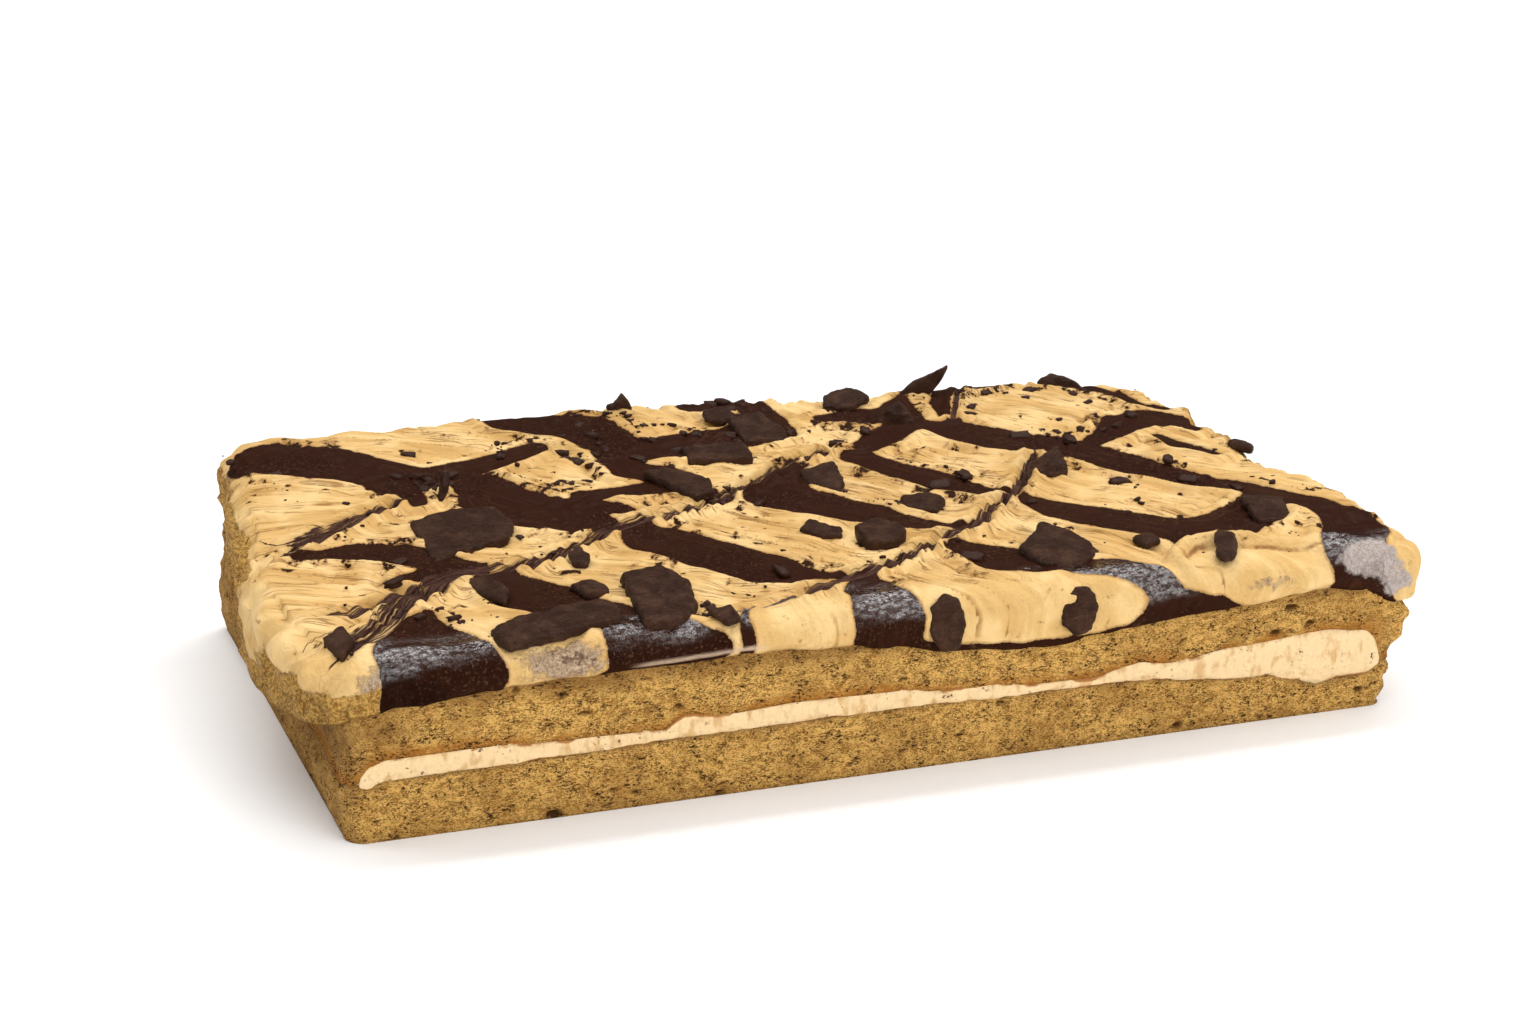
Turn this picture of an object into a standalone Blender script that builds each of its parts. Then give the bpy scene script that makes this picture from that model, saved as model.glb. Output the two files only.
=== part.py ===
"""A tray-baked mocha cream cake: two sponges, a cream filling, and a marbled cream topping with shards.

Lengths are in millimetres here and become metres when a mesh is made. X runs along the long side.
The cut front face, which shows the filling, looks to -Y. The cake rests on z = 0.
"""

import itertools
import math
import random

import bmesh
import bpy
import numpy as np
from mathutils import Matrix, Vector

MM = 0.001

# Driving dimensions
HALF_LENGTH = 163.0
HALF_WIDTH = 88.5
TOPPING_FRONT = -87.2
SPONGE_LEFT, SPONGE_RIGHT = -148.0, 150.0
SPONGE_FRONT, SPONGE_BACK = -85.0, 85.0
SPONGE_TOP = 39.5
FRONT_TOP = 48.5
BACK_RISE = 7.5
TOUCH_GAP = 0.3
LIP_GAP = 0.8
SPONGE_CORNER = 5.0
TOPPING_CORNER = 7.0
SHOULDER = 7.0

# Grid sizes: cells along X and Y
LAYER_COLUMNS, LAYER_ROWS = 33, 7
SIDE_ROWS = 3
TOPPING_COLUMNS, TOPPING_ROWS = 66, 36

# Heights of the filling's lower and upper faces along the front, as (x, z)
FLOOR_AT_FRONT = (
    (-148, 14.5), (-138, 16.4), (-98, 16.7), (-58, 17.6), (2, 18.0), (52, 17.4), (72, 17.0),
    (92, 15.0), (102, 13.6), (112, 13.6), (122, 11.0), (129, 9.0), (137, 9.9), (152, 10.5),
)
ROOF_AT_FRONT = (
    (-148, 18.5), (-138, 22.0), (-118, 22.2), (-98, 21.4), (-66, 20.7), (-59, 24.1), (-48, 22.6),
    (-28, 23.5), (2, 23.0), (12, 21.7), (42, 19.9), (57, 19.5), (72, 22.0), (82, 21.1),
    (102, 23.2), (132, 24.9), (142, 23.6), (152, 20.0),
)
FLOOR_AT_BACK, ROOF_AT_BACK = 17.0, 22.6

# How far the short ends stand out from the sponge's straight sides, as (z, mm)
LEFT_BULGE = ((0, 1.0), (6, 2.5), (12, 3.2), (18, 2.0), (26, 1.2), (39, 0.0))
RIGHT_BULGE = ((0, 0.5), (5, 2.0), (11, 3.0), (15, 2.5), (20, 7.0), (27, 8.5), (32, 6.0), (39, 0.0))

# The topping's outermost edge along each side, as (place along the side, reach)
LEFT_EDGE = (
    (-88, 153), (-78, 157), (-60, 161), (-32, 163), (-8, 161), (16, 157), (43, 155), (56, 151),
    (80, 150), (88, 147),
)
RIGHT_EDGE = (
    (-88, 161), (-74, 162), (-50, 163), (-33, 161), (-28, 156), (-6, 154), (26, 158), (36, 155),
    (52, 158), (62, 155), (80, 157), (88, 152),
)
# Where the topping's lip ends on the sponge, as (place along the side, z)
FRONT_LIP = (
    (-150, 34), (-138, 35.5), (-98, 38), (-38, 38.6), (-18, 37.6), (2, 35.5), (12, 33),
    (22, 31.8), (47, 30.5), (62, 32.4), (102, 35), (132, 37), (142, 35.5), (156, 31),
)
LEFT_LIP = ((-88, 32), (-65, 28), (-45, 25), (-20, 26), (0, 28), (20, 33), (50, 34), (88, 36))
RIGHT_LIP = ((-88, 31), (-60, 31), (-30, 34), (0, 35), (88, 36))
BACK_LIP = ((-150, 36), (-90, 34), (-20, 37), (40, 34.5), (100, 37), (156, 35))

# Chocolate bands in the topping, drawn as strokes of (x, y, half width)
BANDS = (
    ((-146, 66, 3), (-136, 64, 13), (-122, 56, 14), (-108, 44, 11), (-97, 38, 8), (-84, 42, 7), (-60, 53, 4)),
    ((-108, 34, 8), (-105, 20, 4)),
    ((-84, 28, 8), (-82, 14, 11), (-73, 2, 12), (-64, -9, 9), (-60, -17, 3)),
    ((-60, 4, 6), (-50, -5, 3)),
    ((-66, 88, 5), (-60, 78, 8), (-50, 72, 10), (-41, 66, 11), (-37, 50, 9), (-30, 42, 9), (-12, 45, 10)),
    ((-12, 45, 10), (3, 50, 9), (14, 54, 9), (18, 66, 6), (16, 80, 6), (-3, 79, 4)),
    ((-40, 40, 5), (-38, 26, 6), (-30, 18, 7), (-24, 3, 3)),
    ((-58, 10, 4), (-44, 10, 4), (-34, 12, 5)),
    ((-52, -20, 6), (-48, -28, 10), (-38, -42, 10), (-27, -56, 10), (-20, -63, 6), (-11, -66, 2)),
    ((10, 18, 2), (3, 8, 6), (-3, -3, 11), (5, -13, 10), (14, -24, 9), (23, -34, 6), (38, -44, 1.5)),
    ((32, 24, 6), (39, 10, 6), (48, -3, 6.5), (56, -14, 4.5), (61, -18, 2)),
    ((36, 62, 4), (48, 62, 8), (58, 60, 9), (64, 70, 5), (68, 77, 2)),
    ((60, 52, 6), (46, 40, 6), (34, 30, 4)),
    ((64, 46, 5), (72, 38, 8), (80, 28, 10), (88, 20, 9), (98, 14, 9)),
    ((72, 52, 2), (77, 68, 3), (84, 80, 4), (94, 83, 5), (106, 86, 4)),
    ((100, 12, 9), (106, 0, 9), (113, -12, 8), (121, -23, 6), (131, -33, 4.5), (142, -43, 3)),
    ((106, 19, 3), (117, 27, 5), (128, 38, 8), (138, 40, 10), (145, 36, 7), (146, 28, 3)),
    ((131, 22, 2), (133, 11, 3.5), (139, 0, 2)),
    ((120, 81, 3), (130, 85, 6), (141, 70, 2.5), (142, 58, 2), (148, 50, 2)),
    ((65, -26, 4), (70, -35, 7), (82, -47, 8), (96, -59, 9), (110, -60, 9), (124, -52, 9), (130, -42, 5)),
    ((134, -42, 5), (145, -50, 6), (148, -60, 8), (145, -72, 9), (138, -82, 9)),
    ((31, -56, 5), (38, -66, 9), (50, -73, 9), (66, -80, 8), (82, -92, 14)),
    ((-4, -69, 3), (-5, -77, 7), (-4, -86, 9), (-1, -95, 11)),
    ((-150, -14, 1), (-140, -14, 4), (-130, -15, 7), (-118, -20, 7), (-110, -28, 6), (-104, -33, 5)),
    ((-119, -38, 5), (-108, -34, 6)),
    ((-99, -44, 6), (-94, -54, 10), (-86, -63, 9), (-76, -72, 6), (-71, -84, 10), (-62, -96, 17)),
    ((-121, -60, 1.5), (-125, -70, 7), (-126, -82, 14), (-123, -96, 19)),
)

# Thin lines where a knife dragged through the topping, drawn as paths of (x, y)
DRAG_LINES = (
    ((-150, 1), (-146, 0), (-132, 6), (-120, 13), (-106, 23)),
    ((-152, -14), (-142, -4), (-132, 4)),
    ((-148, -86), (-145, -76), (-135, -66), (-124, -51), (-108, -38), (-95, -38), (-80, -31), (-62, -20),
     (-35, -7), (-20, 0), (-8, 10), (12, 26), (22, 31), (36, 31)),
    ((-155, -54), (-138, -53), (-120, -43)),
    ((-36, -86), (-22, -79), (-10, -70), (2, -65), (12, -59), (28, -48), (42, -40), (52, -28), (64, -18),
     (72, -6), (84, 12)),
    ((74, 50), (82, 66), (90, 84)),
    ((72, -90), (84, -74), (100, -69)),
)

# Chocolate shards that lie in the topping: outline of (x, y), thickness, tilt, tilt heading, sink
LYING_SHARDS = (
    (((-111, 0), (-98, 3), (-86, 1), (-84, -10), (-88, -19), (-101, -22), (-111, -28)), 3.6, 7, 250, 0.8),
    (((-68, -56), (-56, -52), (-51, -62), (-53, -76), (-62, -85), (-70, -82)), 3.6, 9, 285, 0.6),
    (((-110, -78), (-101, -72), (-89, -69), (-78, -66), (-73, -71), (-76, -80), (-90, -83), (-107, -87)),
     3.2, 5, 270, 1.0),
    (((-106, -42), (-100, -44), (-98, -55), (-101, -63), (-106, -52)), 2.4, 8, 200, 0.8),
    (((-38, 19), (-28, 17), (-20, 8), (-22, 0), (-28, -1), (-33, 9)), 3.2, 12, 250, 0.4),
    (((-19, 39), (-8, 38), (0, 36), (-1, 25), (-12, 27), (-20, 30)), 3.0, 8, 255, 0.8),
    (((3, 60), (14, 62), (18, 48), (15, 42), (3, 44)), 3.0, 12, 265, 0.6),
    (((9, 14), (20, 14), (18, 0), (14, -3), (8, 4)), 2.8, 10, 230, 0.8),
    (((4, -41), (10, -38), (17, -42), (18, -47), (12, -52), (5, -50)), 4.6, 14, 260, 0.6),
    (((-9, -32), (-4, -28), (3, -36), (1, -41), (-5, -38)), 2.2, 8, 240, 0.6),
    (((44, -63), (57, -50), (64, -58), (66, -70), (56, -78), (46, -74)), 3.2, 8, 275, 1.0),
    (((29, -16), (38, -15), (40, -22), (35, -29), (27, -23)), 2.6, 8, 240, 0.6),
    (((102, -68), (107, -71), (101, -83), (96, -86), (95, -82)), 2.4, 10, 300, 0.4),
    (((122, -46), (134, -49), (131, -59), (127, -63), (119, -63)), 2.6, 9, 265, 0.6),
    (((79, -62), (85, -61), (86, -67), (80, -69)), 2.2, 6, 240, 0.6),
    (((-82, -56), (-76, -54), (-72, -57), (-73, -62), (-79, -63)), 2.4, 8, 300, 0.8),
    (((-76, -33), (-72, -30), (-70, -37), (-73, -43), (-76, -40)), 2.2, 6, 250, 0.8),
    (((-151, -70), (-145, -66), (-143, -74), (-148, -80)), 3.2, 14, 240, 0.4),
    (((148, 9), (152, 9), (155, 5), (151, -1), (148, 2)), 2.4, 12, 20, 0.2),
    (((-52, -79), (-45, -78), (-44, -85), (-49, -87)), 2.2, 12, 270, 0.2),
    (((40, 76), (50, 80), (56, 74), (48, 68), (39, 69)), 3.0, 20, 280, -0.6),
    (((-2, 70), (6, 73), (9, 67), (3, 62), (-3, 64)), 2.4, 14, 300, 0.2),
)

# Shards that stand on edge: base centre, base length, height, slant, heading, lean, lean heading
STANDING_SHARDS = (
    ((72, 80), 11, 8.6, 11, 340, 10, 90),
    ((79, -7), 13, 9.5, 2, 335, 42, 75),
    ((-96, 24), 7, 8, 0, 80, 12, 0),
    ((56, 53), 12, 7, -1, 340, 18, 70),
    ((-24, 80), 6, 6, 0, 10, 10, 160),
    ((127, 82), 16, 4.6, -6, 350, 25, 80),
)

# Shards stuck to the topping's front shoulder: x, height, width, tall, turn
FRONT_SHARDS = ((13, 41.6, 10.5, 16.0, 6), (51.5, 40.6, 12, 13, 14))
FRONT_SHARD_OUTLINE = (
    (-0.5, -0.15), (-0.25, -0.5), (0.2, -0.5), (0.5, -0.1), (0.4, 0.35), (0.05, 0.5), (-0.4, 0.3),
)
FRONT_SHARD_TILT = 79
FRONT_SHARD_DEPTH = 1.9

# How deep a standing shard sits in the topping, and how thick it is
STANDING_SINK, BLADE_THICKNESS = 1.5, 2.4

FLAKE_COUNT = 30
FLAKE_SEED = 11
NOISE_SEED = 5


def lattice_value(cell, seed):
    """A fixed value between -1 and 1 for each lattice point."""
    mixed = cell @ np.array([374761393, 668265263, 1274126177]) + seed * 144665
    mixed = (mixed ^ (mixed >> 13)) * 1274126177
    return ((mixed ^ (mixed >> 16)) & 0xFFFF) / 32767.5 - 1


def lattice_noise(points, size, seed):
    """Smooth noise between -1 and 1, in lumps about one size across."""
    scaled = np.asarray(points, float) / size
    cell = np.floor(scaled).astype(np.int64)
    part = scaled - cell
    part = part * part * (3 - 2 * part)
    total = np.zeros(len(scaled))
    for corner in itertools.product((0, 1), repeat=3):
        weight = np.prod(np.where(corner, part, 1 - part), axis=1)
        total += weight * lattice_value(cell + corner, seed)
    return total


def from_table(table, places):
    """Values read off a short table of (place, value), eased between its rows."""
    keys, values = np.transpose(table)
    places = np.clip(places, keys[0], keys[-1])
    row = np.clip(np.searchsorted(keys, places, side="right") - 1, 0, len(keys) - 2)
    part = (places - keys[row]) / (keys[row + 1] - keys[row])
    part = part * part * (3 - 2 * part)
    return values[row] + part * (values[row + 1] - values[row])


def blend_min(a, b, width=2.5):
    """The lower of two distances, rounded where they cross."""
    near = np.clip(0.5 + 0.5 * (b - a) / width, 0, 1)
    return b + (a - b) * near - width * near * (1 - near) * 0.5


def stroke_distance(x, y, stroke):
    """Distance to a tapered stroke's edge, negative inside it."""
    nearest = np.full(np.shape(x), 400.0)
    for (ax, ay, aw), (bx, by, bw) in zip(stroke, stroke[1:]):
        along = ((x - ax) * (bx - ax) + (y - ay) * (by - ay)) / ((bx - ax) ** 2 + (by - ay) ** 2)
        along = np.clip(along, 0, 1)
        gap = np.hypot(x - ax - along * (bx - ax), y - ay - along * (by - ay)) - aw - along * (bw - aw)
        nearest = blend_min(nearest, gap)
    return nearest


def band_distance(x, y):
    """Distance to the nearest chocolate band's edge, negative inside it."""
    nearest = np.full(np.shape(x), 400.0)
    for stroke in BANDS:
        nearest = blend_min(nearest, stroke_distance(x, y, stroke))
    return nearest


def drag_distance(x, y):
    """Distance to the nearest drag line."""
    nearest = np.full(np.shape(x), 400.0)
    for path in DRAG_LINES:
        stroke = [(px, py, 0.0) for px, py in path]
        nearest = np.minimum(nearest, stroke_distance(x, y, stroke))
    return np.maximum(nearest, 0)


def top_height(x, y):
    """The topping's mean height: a little higher at the back left."""
    rise = np.interp(x, (-160, -20, 40, 100, 145), (1.0, 1.0, 0.6, 0.5, 0.0)) * BACK_RISE
    return FRONT_TOP + rise * np.clip((y + 75) / 155, 0, 1) + np.clip((y + 84) / 40, 0, 1)


def relief(x, y):
    """Ridges, grooves and lumps on the topping."""
    points = np.stack([x, y, np.zeros_like(x)], axis=-1).reshape(-1, 3)
    lumps = 0.9 * lattice_noise(points, 26, NOISE_SEED) + 0.5 * lattice_noise(points, 10, NOISE_SEED + 1)
    lumps = lumps.reshape(np.shape(x))
    edge = band_distance(x, y)
    line = drag_distance(x, y)
    cream = np.clip((edge + 1) / 3, 0, 1)
    bead = 1.3 * np.exp(-(((edge - 2.4) / 2.0) ** 2))
    ripple = 0.6 * np.cos(edge * math.tau / 6.5) * np.clip((edge - 1) / 4, 0, 1) * np.exp(-edge.clip(0) / 24)
    groove = 1.1 * np.exp(-(((line - 3.4) / 1.8) ** 2)) - 1.7 * np.exp(-((line / 1.8) ** 2))
    return lumps * (0.35 + 0.65 * cream) + bead + ripple + groove + 0.5 * (1 - cream)


def surface(x, y):
    """Height of the topping's upper face."""
    x, y = np.asarray(x, float), np.asarray(y, float)
    return top_height(x, y) + relief(x, y)


def spread(cells, first=0.02):
    """Fractions from 0 to 1 with a narrow first and last cell."""
    return np.concatenate([[0.0], np.linspace(first, 1 - first, cells - 1), [1.0]])


def corner_inset(reach, radius):
    """How far a rounded corner pulls a side in, at this distance from the next side."""
    inside = np.clip(radius - reach, 0, radius)
    return radius - np.sqrt(radius**2 - inside**2)


def rounded_sides(us, vs, left, right, front, back, radius):
    """The four sides of a rounded rectangle. Each ends in the middle of a corner's arc."""
    cut = radius * (1 - math.sqrt(0.5))
    ys = np.interp(vs, (0, 1), (np.mean(front) + cut, np.mean(back) - cut))
    xs = np.interp(us, (0, 1), (left[0] + cut, right[0] - cut))
    front_side = np.stack([xs, front + corner_inset(np.minimum(xs - left[0], right[0] - xs), radius)], -1)
    xs = np.interp(us, (0, 1), (left[-1] + cut, right[-1] - cut))
    back_side = np.stack([xs, back - corner_inset(np.minimum(xs - left[-1], right[-1] - xs), radius)], -1)
    ends = corner_inset(np.minimum(ys - np.mean(front), np.mean(back) - ys), radius)
    left_side = np.stack([left + ends, ys], -1)
    right_side = np.stack([right - ends, ys], -1)
    left_side[0], left_side[-1] = front_side[0], back_side[0]
    right_side[0], right_side[-1] = front_side[-1], back_side[-1]
    return front_side, back_side, left_side, right_side


def filled_patch(us, vs, sides):
    """A grid of points that fills the space between four sides."""
    front, back, left, right = sides
    u, v = us[:, None, None], vs[None, :, None]
    across = front[:, None] * (1 - v) + back[:, None] * v
    along = left[None] * (1 - u) + right[None] * u
    corners = (front[0] * (1 - u) + front[-1] * u) * (1 - v) + (back[0] * (1 - u) + back[-1] * u) * v
    return across + along - corners


def rim(grid):
    """A grid's outer points, in order round it from its front left corner."""
    return np.concatenate([grid[:-1, 0], grid[-1, :-1], grid[:0:-1, -1], grid[0, :0:-1]])


def filling_face(x, y, at_front, at_back, seed):
    """Height of the filling's floor or roof: measured at the front, gently uneven further back."""
    points = np.stack([x, y, np.zeros_like(x)], -1).reshape(-1, 3)
    behind = at_back + 0.9 * lattice_noise(points, 24, seed).reshape(np.shape(x))
    part = np.clip((y - SPONGE_FRONT) / 45, 0, 1)
    part = part * part * (3 - 2 * part)
    return from_table(at_front, x) * (1 - part) + behind * part


def filling_floor(x, y):
    return filling_face(x, y, FLOOR_AT_FRONT, FLOOR_AT_BACK, NOISE_SEED + 2)


def filling_roof(x, y):
    return filling_face(x, y, ROOF_AT_FRONT, ROOF_AT_BACK, NOISE_SEED + 3)


def sponge_sides(us, vs, left_z, right_z, grow=0.0):
    """The sponge's outline, grown outwards, at these heights along its left and right ends."""
    fade = np.interp(vs, (0, 0.15, 0.5, 1), (1.0, 0.9, 0.15, 0.25))
    left = SPONGE_LEFT - from_table(LEFT_BULGE, left_z) * np.ones(len(vs)) - grow
    right = SPONGE_RIGHT + from_table(RIGHT_BULGE, right_z) * fade + grow
    front = np.full(len(us), SPONGE_FRONT - grow)
    back = np.full(len(us), SPONGE_BACK + grow)
    return rounded_sides(us, vs, left, right, front, back, SPONGE_CORNER + grow)


def layer_rims(us, vs, lower, upper, roughness, seed):
    """Rings of points up a layer's sides, between its lower and upper face."""
    rings = []
    for share in np.linspace(0, 1, SIDE_ROWS + 1):
        level = share * upper + (1 - share) * lower
        flat = rim_of_sides(sponge_sides(us, vs, level[0], level[-1]))
        ring = np.column_stack([flat, rim(level)])
        outward = flat / np.linalg.norm(flat / (SPONGE_RIGHT, SPONGE_BACK), axis=1)[:, None]
        outward /= np.linalg.norm(outward, axis=1)[:, None]
        inner = 0 < share < 1
        ring[:, :2] -= outward * (roughness * inner * (1 + lattice_noise(ring, 7, seed)))[:, None]
        rings.append(ring)
    return rings


def add_grid(bm, points):
    """Vertices of a grid of points, as nested lists."""
    return [[bm.verts.new(Vector(p) * MM) for p in column] for column in points]


def add_ring(bm, points):
    return [bm.verts.new(Vector(p) * MM) for p in points]


def skin_grid(bm, grid, upward):
    """Triangles over a grid of vertices, facing up or down."""
    for a, b in zip(grid, grid[1:]):
        for k in range(len(a) - 1):
            for triangle in ((a[k], b[k], b[k + 1]), (a[k], b[k + 1], a[k + 1])):
                bm.faces.new(triangle if upward else triangle[::-1])


def skin_rings(bm, lower, upper):
    """Triangles between two rings of vertices, facing out."""
    count = len(lower)
    for k in range(count):
        n = (k + 1) % count
        bm.faces.new((lower[k], lower[n], upper[n]))
        bm.faces.new((lower[k], upper[n], upper[k]))


def ring_of(grid):
    """The vertices round a grid of vertices, in the order that rim gives."""
    front = [column[0] for column in grid[:-1]]
    back = [column[-1] for column in grid[:0:-1]]
    return front + grid[-1][:-1] + back + grid[0][:0:-1]


def make_material(name, colour, roughness):
    material = bpy.data.materials.new(name)
    material.use_nodes = True
    shader = material.node_tree.nodes["Principled BSDF"]
    shader.inputs["Base Color"].default_value = (*colour, 1.0)
    shader.inputs["Roughness"].default_value = roughness
    shader.inputs["Metallic"].default_value = 0.0
    return material


def finish_object(name, bm, material):
    """Turns a bmesh into a smooth-shaded object of this name."""
    bmesh.ops.recalc_face_normals(bm, faces=bm.faces)
    mesh = bpy.data.meshes.new(name)
    bm.to_mesh(mesh)
    bm.free()
    mesh.shade_smooth()
    mesh.set_sharp_from_angle(angle=math.radians(40))
    mesh.materials.append(material)
    cake_object = bpy.data.objects.new(name, mesh)
    bpy.context.scene.collection.objects.link(cake_object)
    return cake_object


def layer_plan():
    """The grid that every layer shares where it meets the next, so that the gaps stay even."""
    us, vs = spread(LAYER_COLUMNS, 0.008), spread(LAYER_ROWS, 0.04)
    return us, vs, filled_patch(us, vs, sponge_sides(us, vs, FLOOR_AT_BACK, FLOOR_AT_BACK))


def base_sponge(material):
    us, vs, plan = layer_plan()
    upper = filling_floor(plan[..., 0], plan[..., 1]) - TOUCH_GAP / 2
    upper[0] = upper[0] + 1.6
    upper[-1] = upper[-1] + 3.0
    bm = bmesh.new()
    rings = layer_rims(us, vs, np.zeros_like(upper), upper, 0.5, NOISE_SEED + 4)
    top = add_grid(bm, np.dstack([plan, upper]))
    skin_grid(bm, top, upward=True)
    loops = [add_ring(bm, ring) for ring in rings[:-1]] + [ring_of(top)]
    for lower_loop, upper_loop in zip(loops, loops[1:]):
        skin_rings(bm, lower_loop, upper_loop)
    bm.faces.new(loops[0][::-1])
    return finish_object("base_sponge", bm, material)


def top_sponge(material):
    us, vs, plan = layer_plan()
    lower = filling_roof(plan[..., 0], plan[..., 1]) + TOUCH_GAP / 2
    lower[0] = filling_floor(plan[0, :, 0], plan[0, :, 1]) + TOUCH_GAP / 2 + 1.6
    lower[-1] = filling_floor(plan[-1, :, 0], plan[-1, :, 1]) + TOUCH_GAP / 2 + 3.0
    bm = bmesh.new()
    rings = layer_rims(us, vs, lower, np.full_like(lower, SPONGE_TOP), 0.5, NOISE_SEED + 6)
    bottom = add_grid(bm, np.dstack([plan, lower]))
    skin_grid(bm, bottom, upward=False)
    loops = [ring_of(bottom)] + [add_ring(bm, ring) for ring in rings[1:]]
    for lower_loop, upper_loop in zip(loops, loops[1:]):
        skin_rings(bm, lower_loop, upper_loop)
    bm.faces.new(loops[-1])
    return finish_object("top_sponge", bm, material)


def cream_filling(material):
    """The filling runs through the cake and stops just short of its two baked ends."""
    plan = layer_plan()[2][1:-1]
    low = filling_floor(plan[..., 0], plan[..., 1]) + TOUCH_GAP / 2
    high = filling_roof(plan[..., 0], plan[..., 1]) - TOUCH_GAP / 2
    bm = bmesh.new()
    bottom = add_grid(bm, np.dstack([plan, low]))
    top = add_grid(bm, np.dstack([plan, high]))
    skin_grid(bm, bottom, upward=False)
    skin_grid(bm, top, upward=True)
    middle = np.column_stack([rim(plan), (rim(low) + rim(high)) / 2])
    face = np.abs(np.abs(middle[:, 1]) - SPONGE_BACK) < 1.0
    swell = 0.5 + np.clip((middle[:, 0] - 100) / 40, 0, 1) + 0.4 * lattice_noise(middle, 9, NOISE_SEED + 7)
    middle[:, 1] += np.sign(middle[:, 1]) * swell * face
    waist = add_ring(bm, middle)
    skin_rings(bm, ring_of(bottom), waist)
    skin_rings(bm, waist, ring_of(top))
    return finish_object("cream_filling", bm, material)


def topping_sides(us, vs, inset):
    """The topping's outline, pulled in by inset."""
    left = -from_table(LEFT_EDGE, np.interp(vs, (0, 1), (-HALF_WIDTH, HALF_WIDTH))) + inset
    right = from_table(RIGHT_EDGE, np.interp(vs, (0, 1), (-HALF_WIDTH, HALF_WIDTH))) - inset
    front = np.full(len(us), TOPPING_FRONT + inset)
    back = np.full(len(us), HALF_WIDTH - inset)
    return rounded_sides(us, vs, left, right, front, back, TOPPING_CORNER)


def rim_of_sides(sides):
    """The four sides joined into one loop, in the order that rim gives."""
    front, back, left, right = sides
    return np.concatenate([front[:-1], right[:-1], back[:0:-1], left[:0:-1]])


def lip_heights(loop, columns, rows):
    """Where the lip ends at each point of the topping's outline."""
    x, y = loop[:, 0], loop[:, 1]
    side = np.repeat([0, 1, 2, 3], [columns, rows, columns, rows])
    front, back = from_table(FRONT_LIP, x), from_table(BACK_LIP, x)
    return np.choose(side, [front, from_table(RIGHT_LIP, y), back, from_table(LEFT_LIP, y)])


def topping_rings(us, vs, top_rim):
    """Rings down the topping's shoulder, round its lip and up to its underside."""
    columns, rows = len(us) - 1, len(vs) - 1
    outline = rim_of_sides(topping_sides(us, vs, 0.0))
    lip = lip_heights(outline, columns, rows)
    top = top_rim[:, 2]
    bulge_z = np.maximum(top - 8.0, lip + 2.5)
    rings = []
    for inset, drop in ((3.0, 0.22), (0.7, 0.6), (0.0, 1.0)):
        flat = rim_of_sides(topping_sides(us, vs, inset))
        rings.append(np.column_stack([flat, top + (bulge_z - top) * drop]))
    rings.append(np.column_stack([rim_of_sides(topping_sides(us, vs, 1.1)), lip + 0.8]))
    for ring in rings:
        ring[:, :2] *= 1 + 0.004 * lattice_noise(ring, 14, NOISE_SEED + 8)[:, None]
    ys = np.interp(vs, (0, 1), (SPONGE_FRONT, SPONGE_BACK))
    left_z, right_z = from_table(LEFT_LIP, ys), from_table(RIGHT_LIP, ys)
    inner = rim_of_sides(sponge_sides(us, vs, left_z, right_z, grow=LIP_GAP))
    rings.append(np.column_stack([inner, lip]))
    rings.append(np.column_stack([inner, np.full(len(inner), SPONGE_TOP + TOUCH_GAP)]))
    return rings


def topping_shape():
    """Grid of the upper face and the rings below it, fitted to the cake's length and width."""
    us, vs = spread(TOPPING_COLUMNS, 0.011), spread(TOPPING_ROWS, 0.02)
    plan = filled_patch(us, vs, topping_sides(us, vs, SHOULDER))
    grid = np.dstack([plan, surface(plan[..., 0], plan[..., 1])])
    rings = topping_rings(us, vs, rim(grid))
    widest = np.concatenate(rings[:4])[:, :2]
    low, high = widest.min(axis=0), widest.max(axis=0)
    wanted_low, wanted_high = np.array((-HALF_LENGTH, TOPPING_FRONT)), np.array((HALF_LENGTH, HALF_WIDTH))
    for ring in rings[:4]:
        ring[:, :2] = wanted_low + (ring[:, :2] - low) * (wanted_high - wanted_low) / (high - low)
    return grid, rings


def topping_body(material):
    grid, rings = topping_shape()
    bm = bmesh.new()
    top = add_grid(bm, grid)
    skin_grid(bm, top, upward=True)
    loops = [ring_of(top)] + [add_ring(bm, ring) for ring in rings]
    for upper_loop, lower_loop in zip(loops, loops[1:]):
        skin_rings(bm, lower_loop, upper_loop)
    bm.faces.new(loops[-1][::-1])
    return finish_object("topping", bm, material)


def prism(outline, thickness, bevel):
    """A flat-bottomed plate over an outline, its upper edge bevelled."""
    outline = np.asarray(outline, float)
    if np.cross(outline[1] - outline[0], outline[2] - outline[1]) < 0:
        outline = outline[::-1]
    inner = outline * (1 - bevel / np.linalg.norm(outline, axis=1))[:, None]
    half = thickness / 2
    bm = bmesh.new()
    loops = [
        add_ring(bm, [(x, y, z) for x, y in ring])
        for ring, z in ((outline, -half), (outline, half - bevel), (inner, half))
    ]
    for lower_loop, upper_loop in zip(loops, loops[1:]):
        skin_rings(bm, lower_loop, upper_loop)
    bm.faces.new(loops[0][::-1])
    bm.faces.new(loops[-1])
    return bm


def blade(length, height, slant, thickness):
    """A standing plate with a pointed top that slants along the plate."""
    half = length / 2
    outline = [
        (-half, 0), (half, 0), (half * 0.9 + slant * 0.45, height * 0.45), (half * 0.35 + slant, height),
        (-half * 0.7 + slant * 0.5, height * 0.55),
    ]
    centre = np.mean(outline, axis=0)
    bm = prism(np.array(outline) - centre, thickness, thickness * 0.2)
    stand = Matrix.Translation(Vector((centre[0], 0, centre[1])) * MM) @ Matrix.Rotation(math.pi / 2, 4, "X")
    bmesh.ops.transform(bm, matrix=stand, verts=bm.verts)
    return bm


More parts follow.
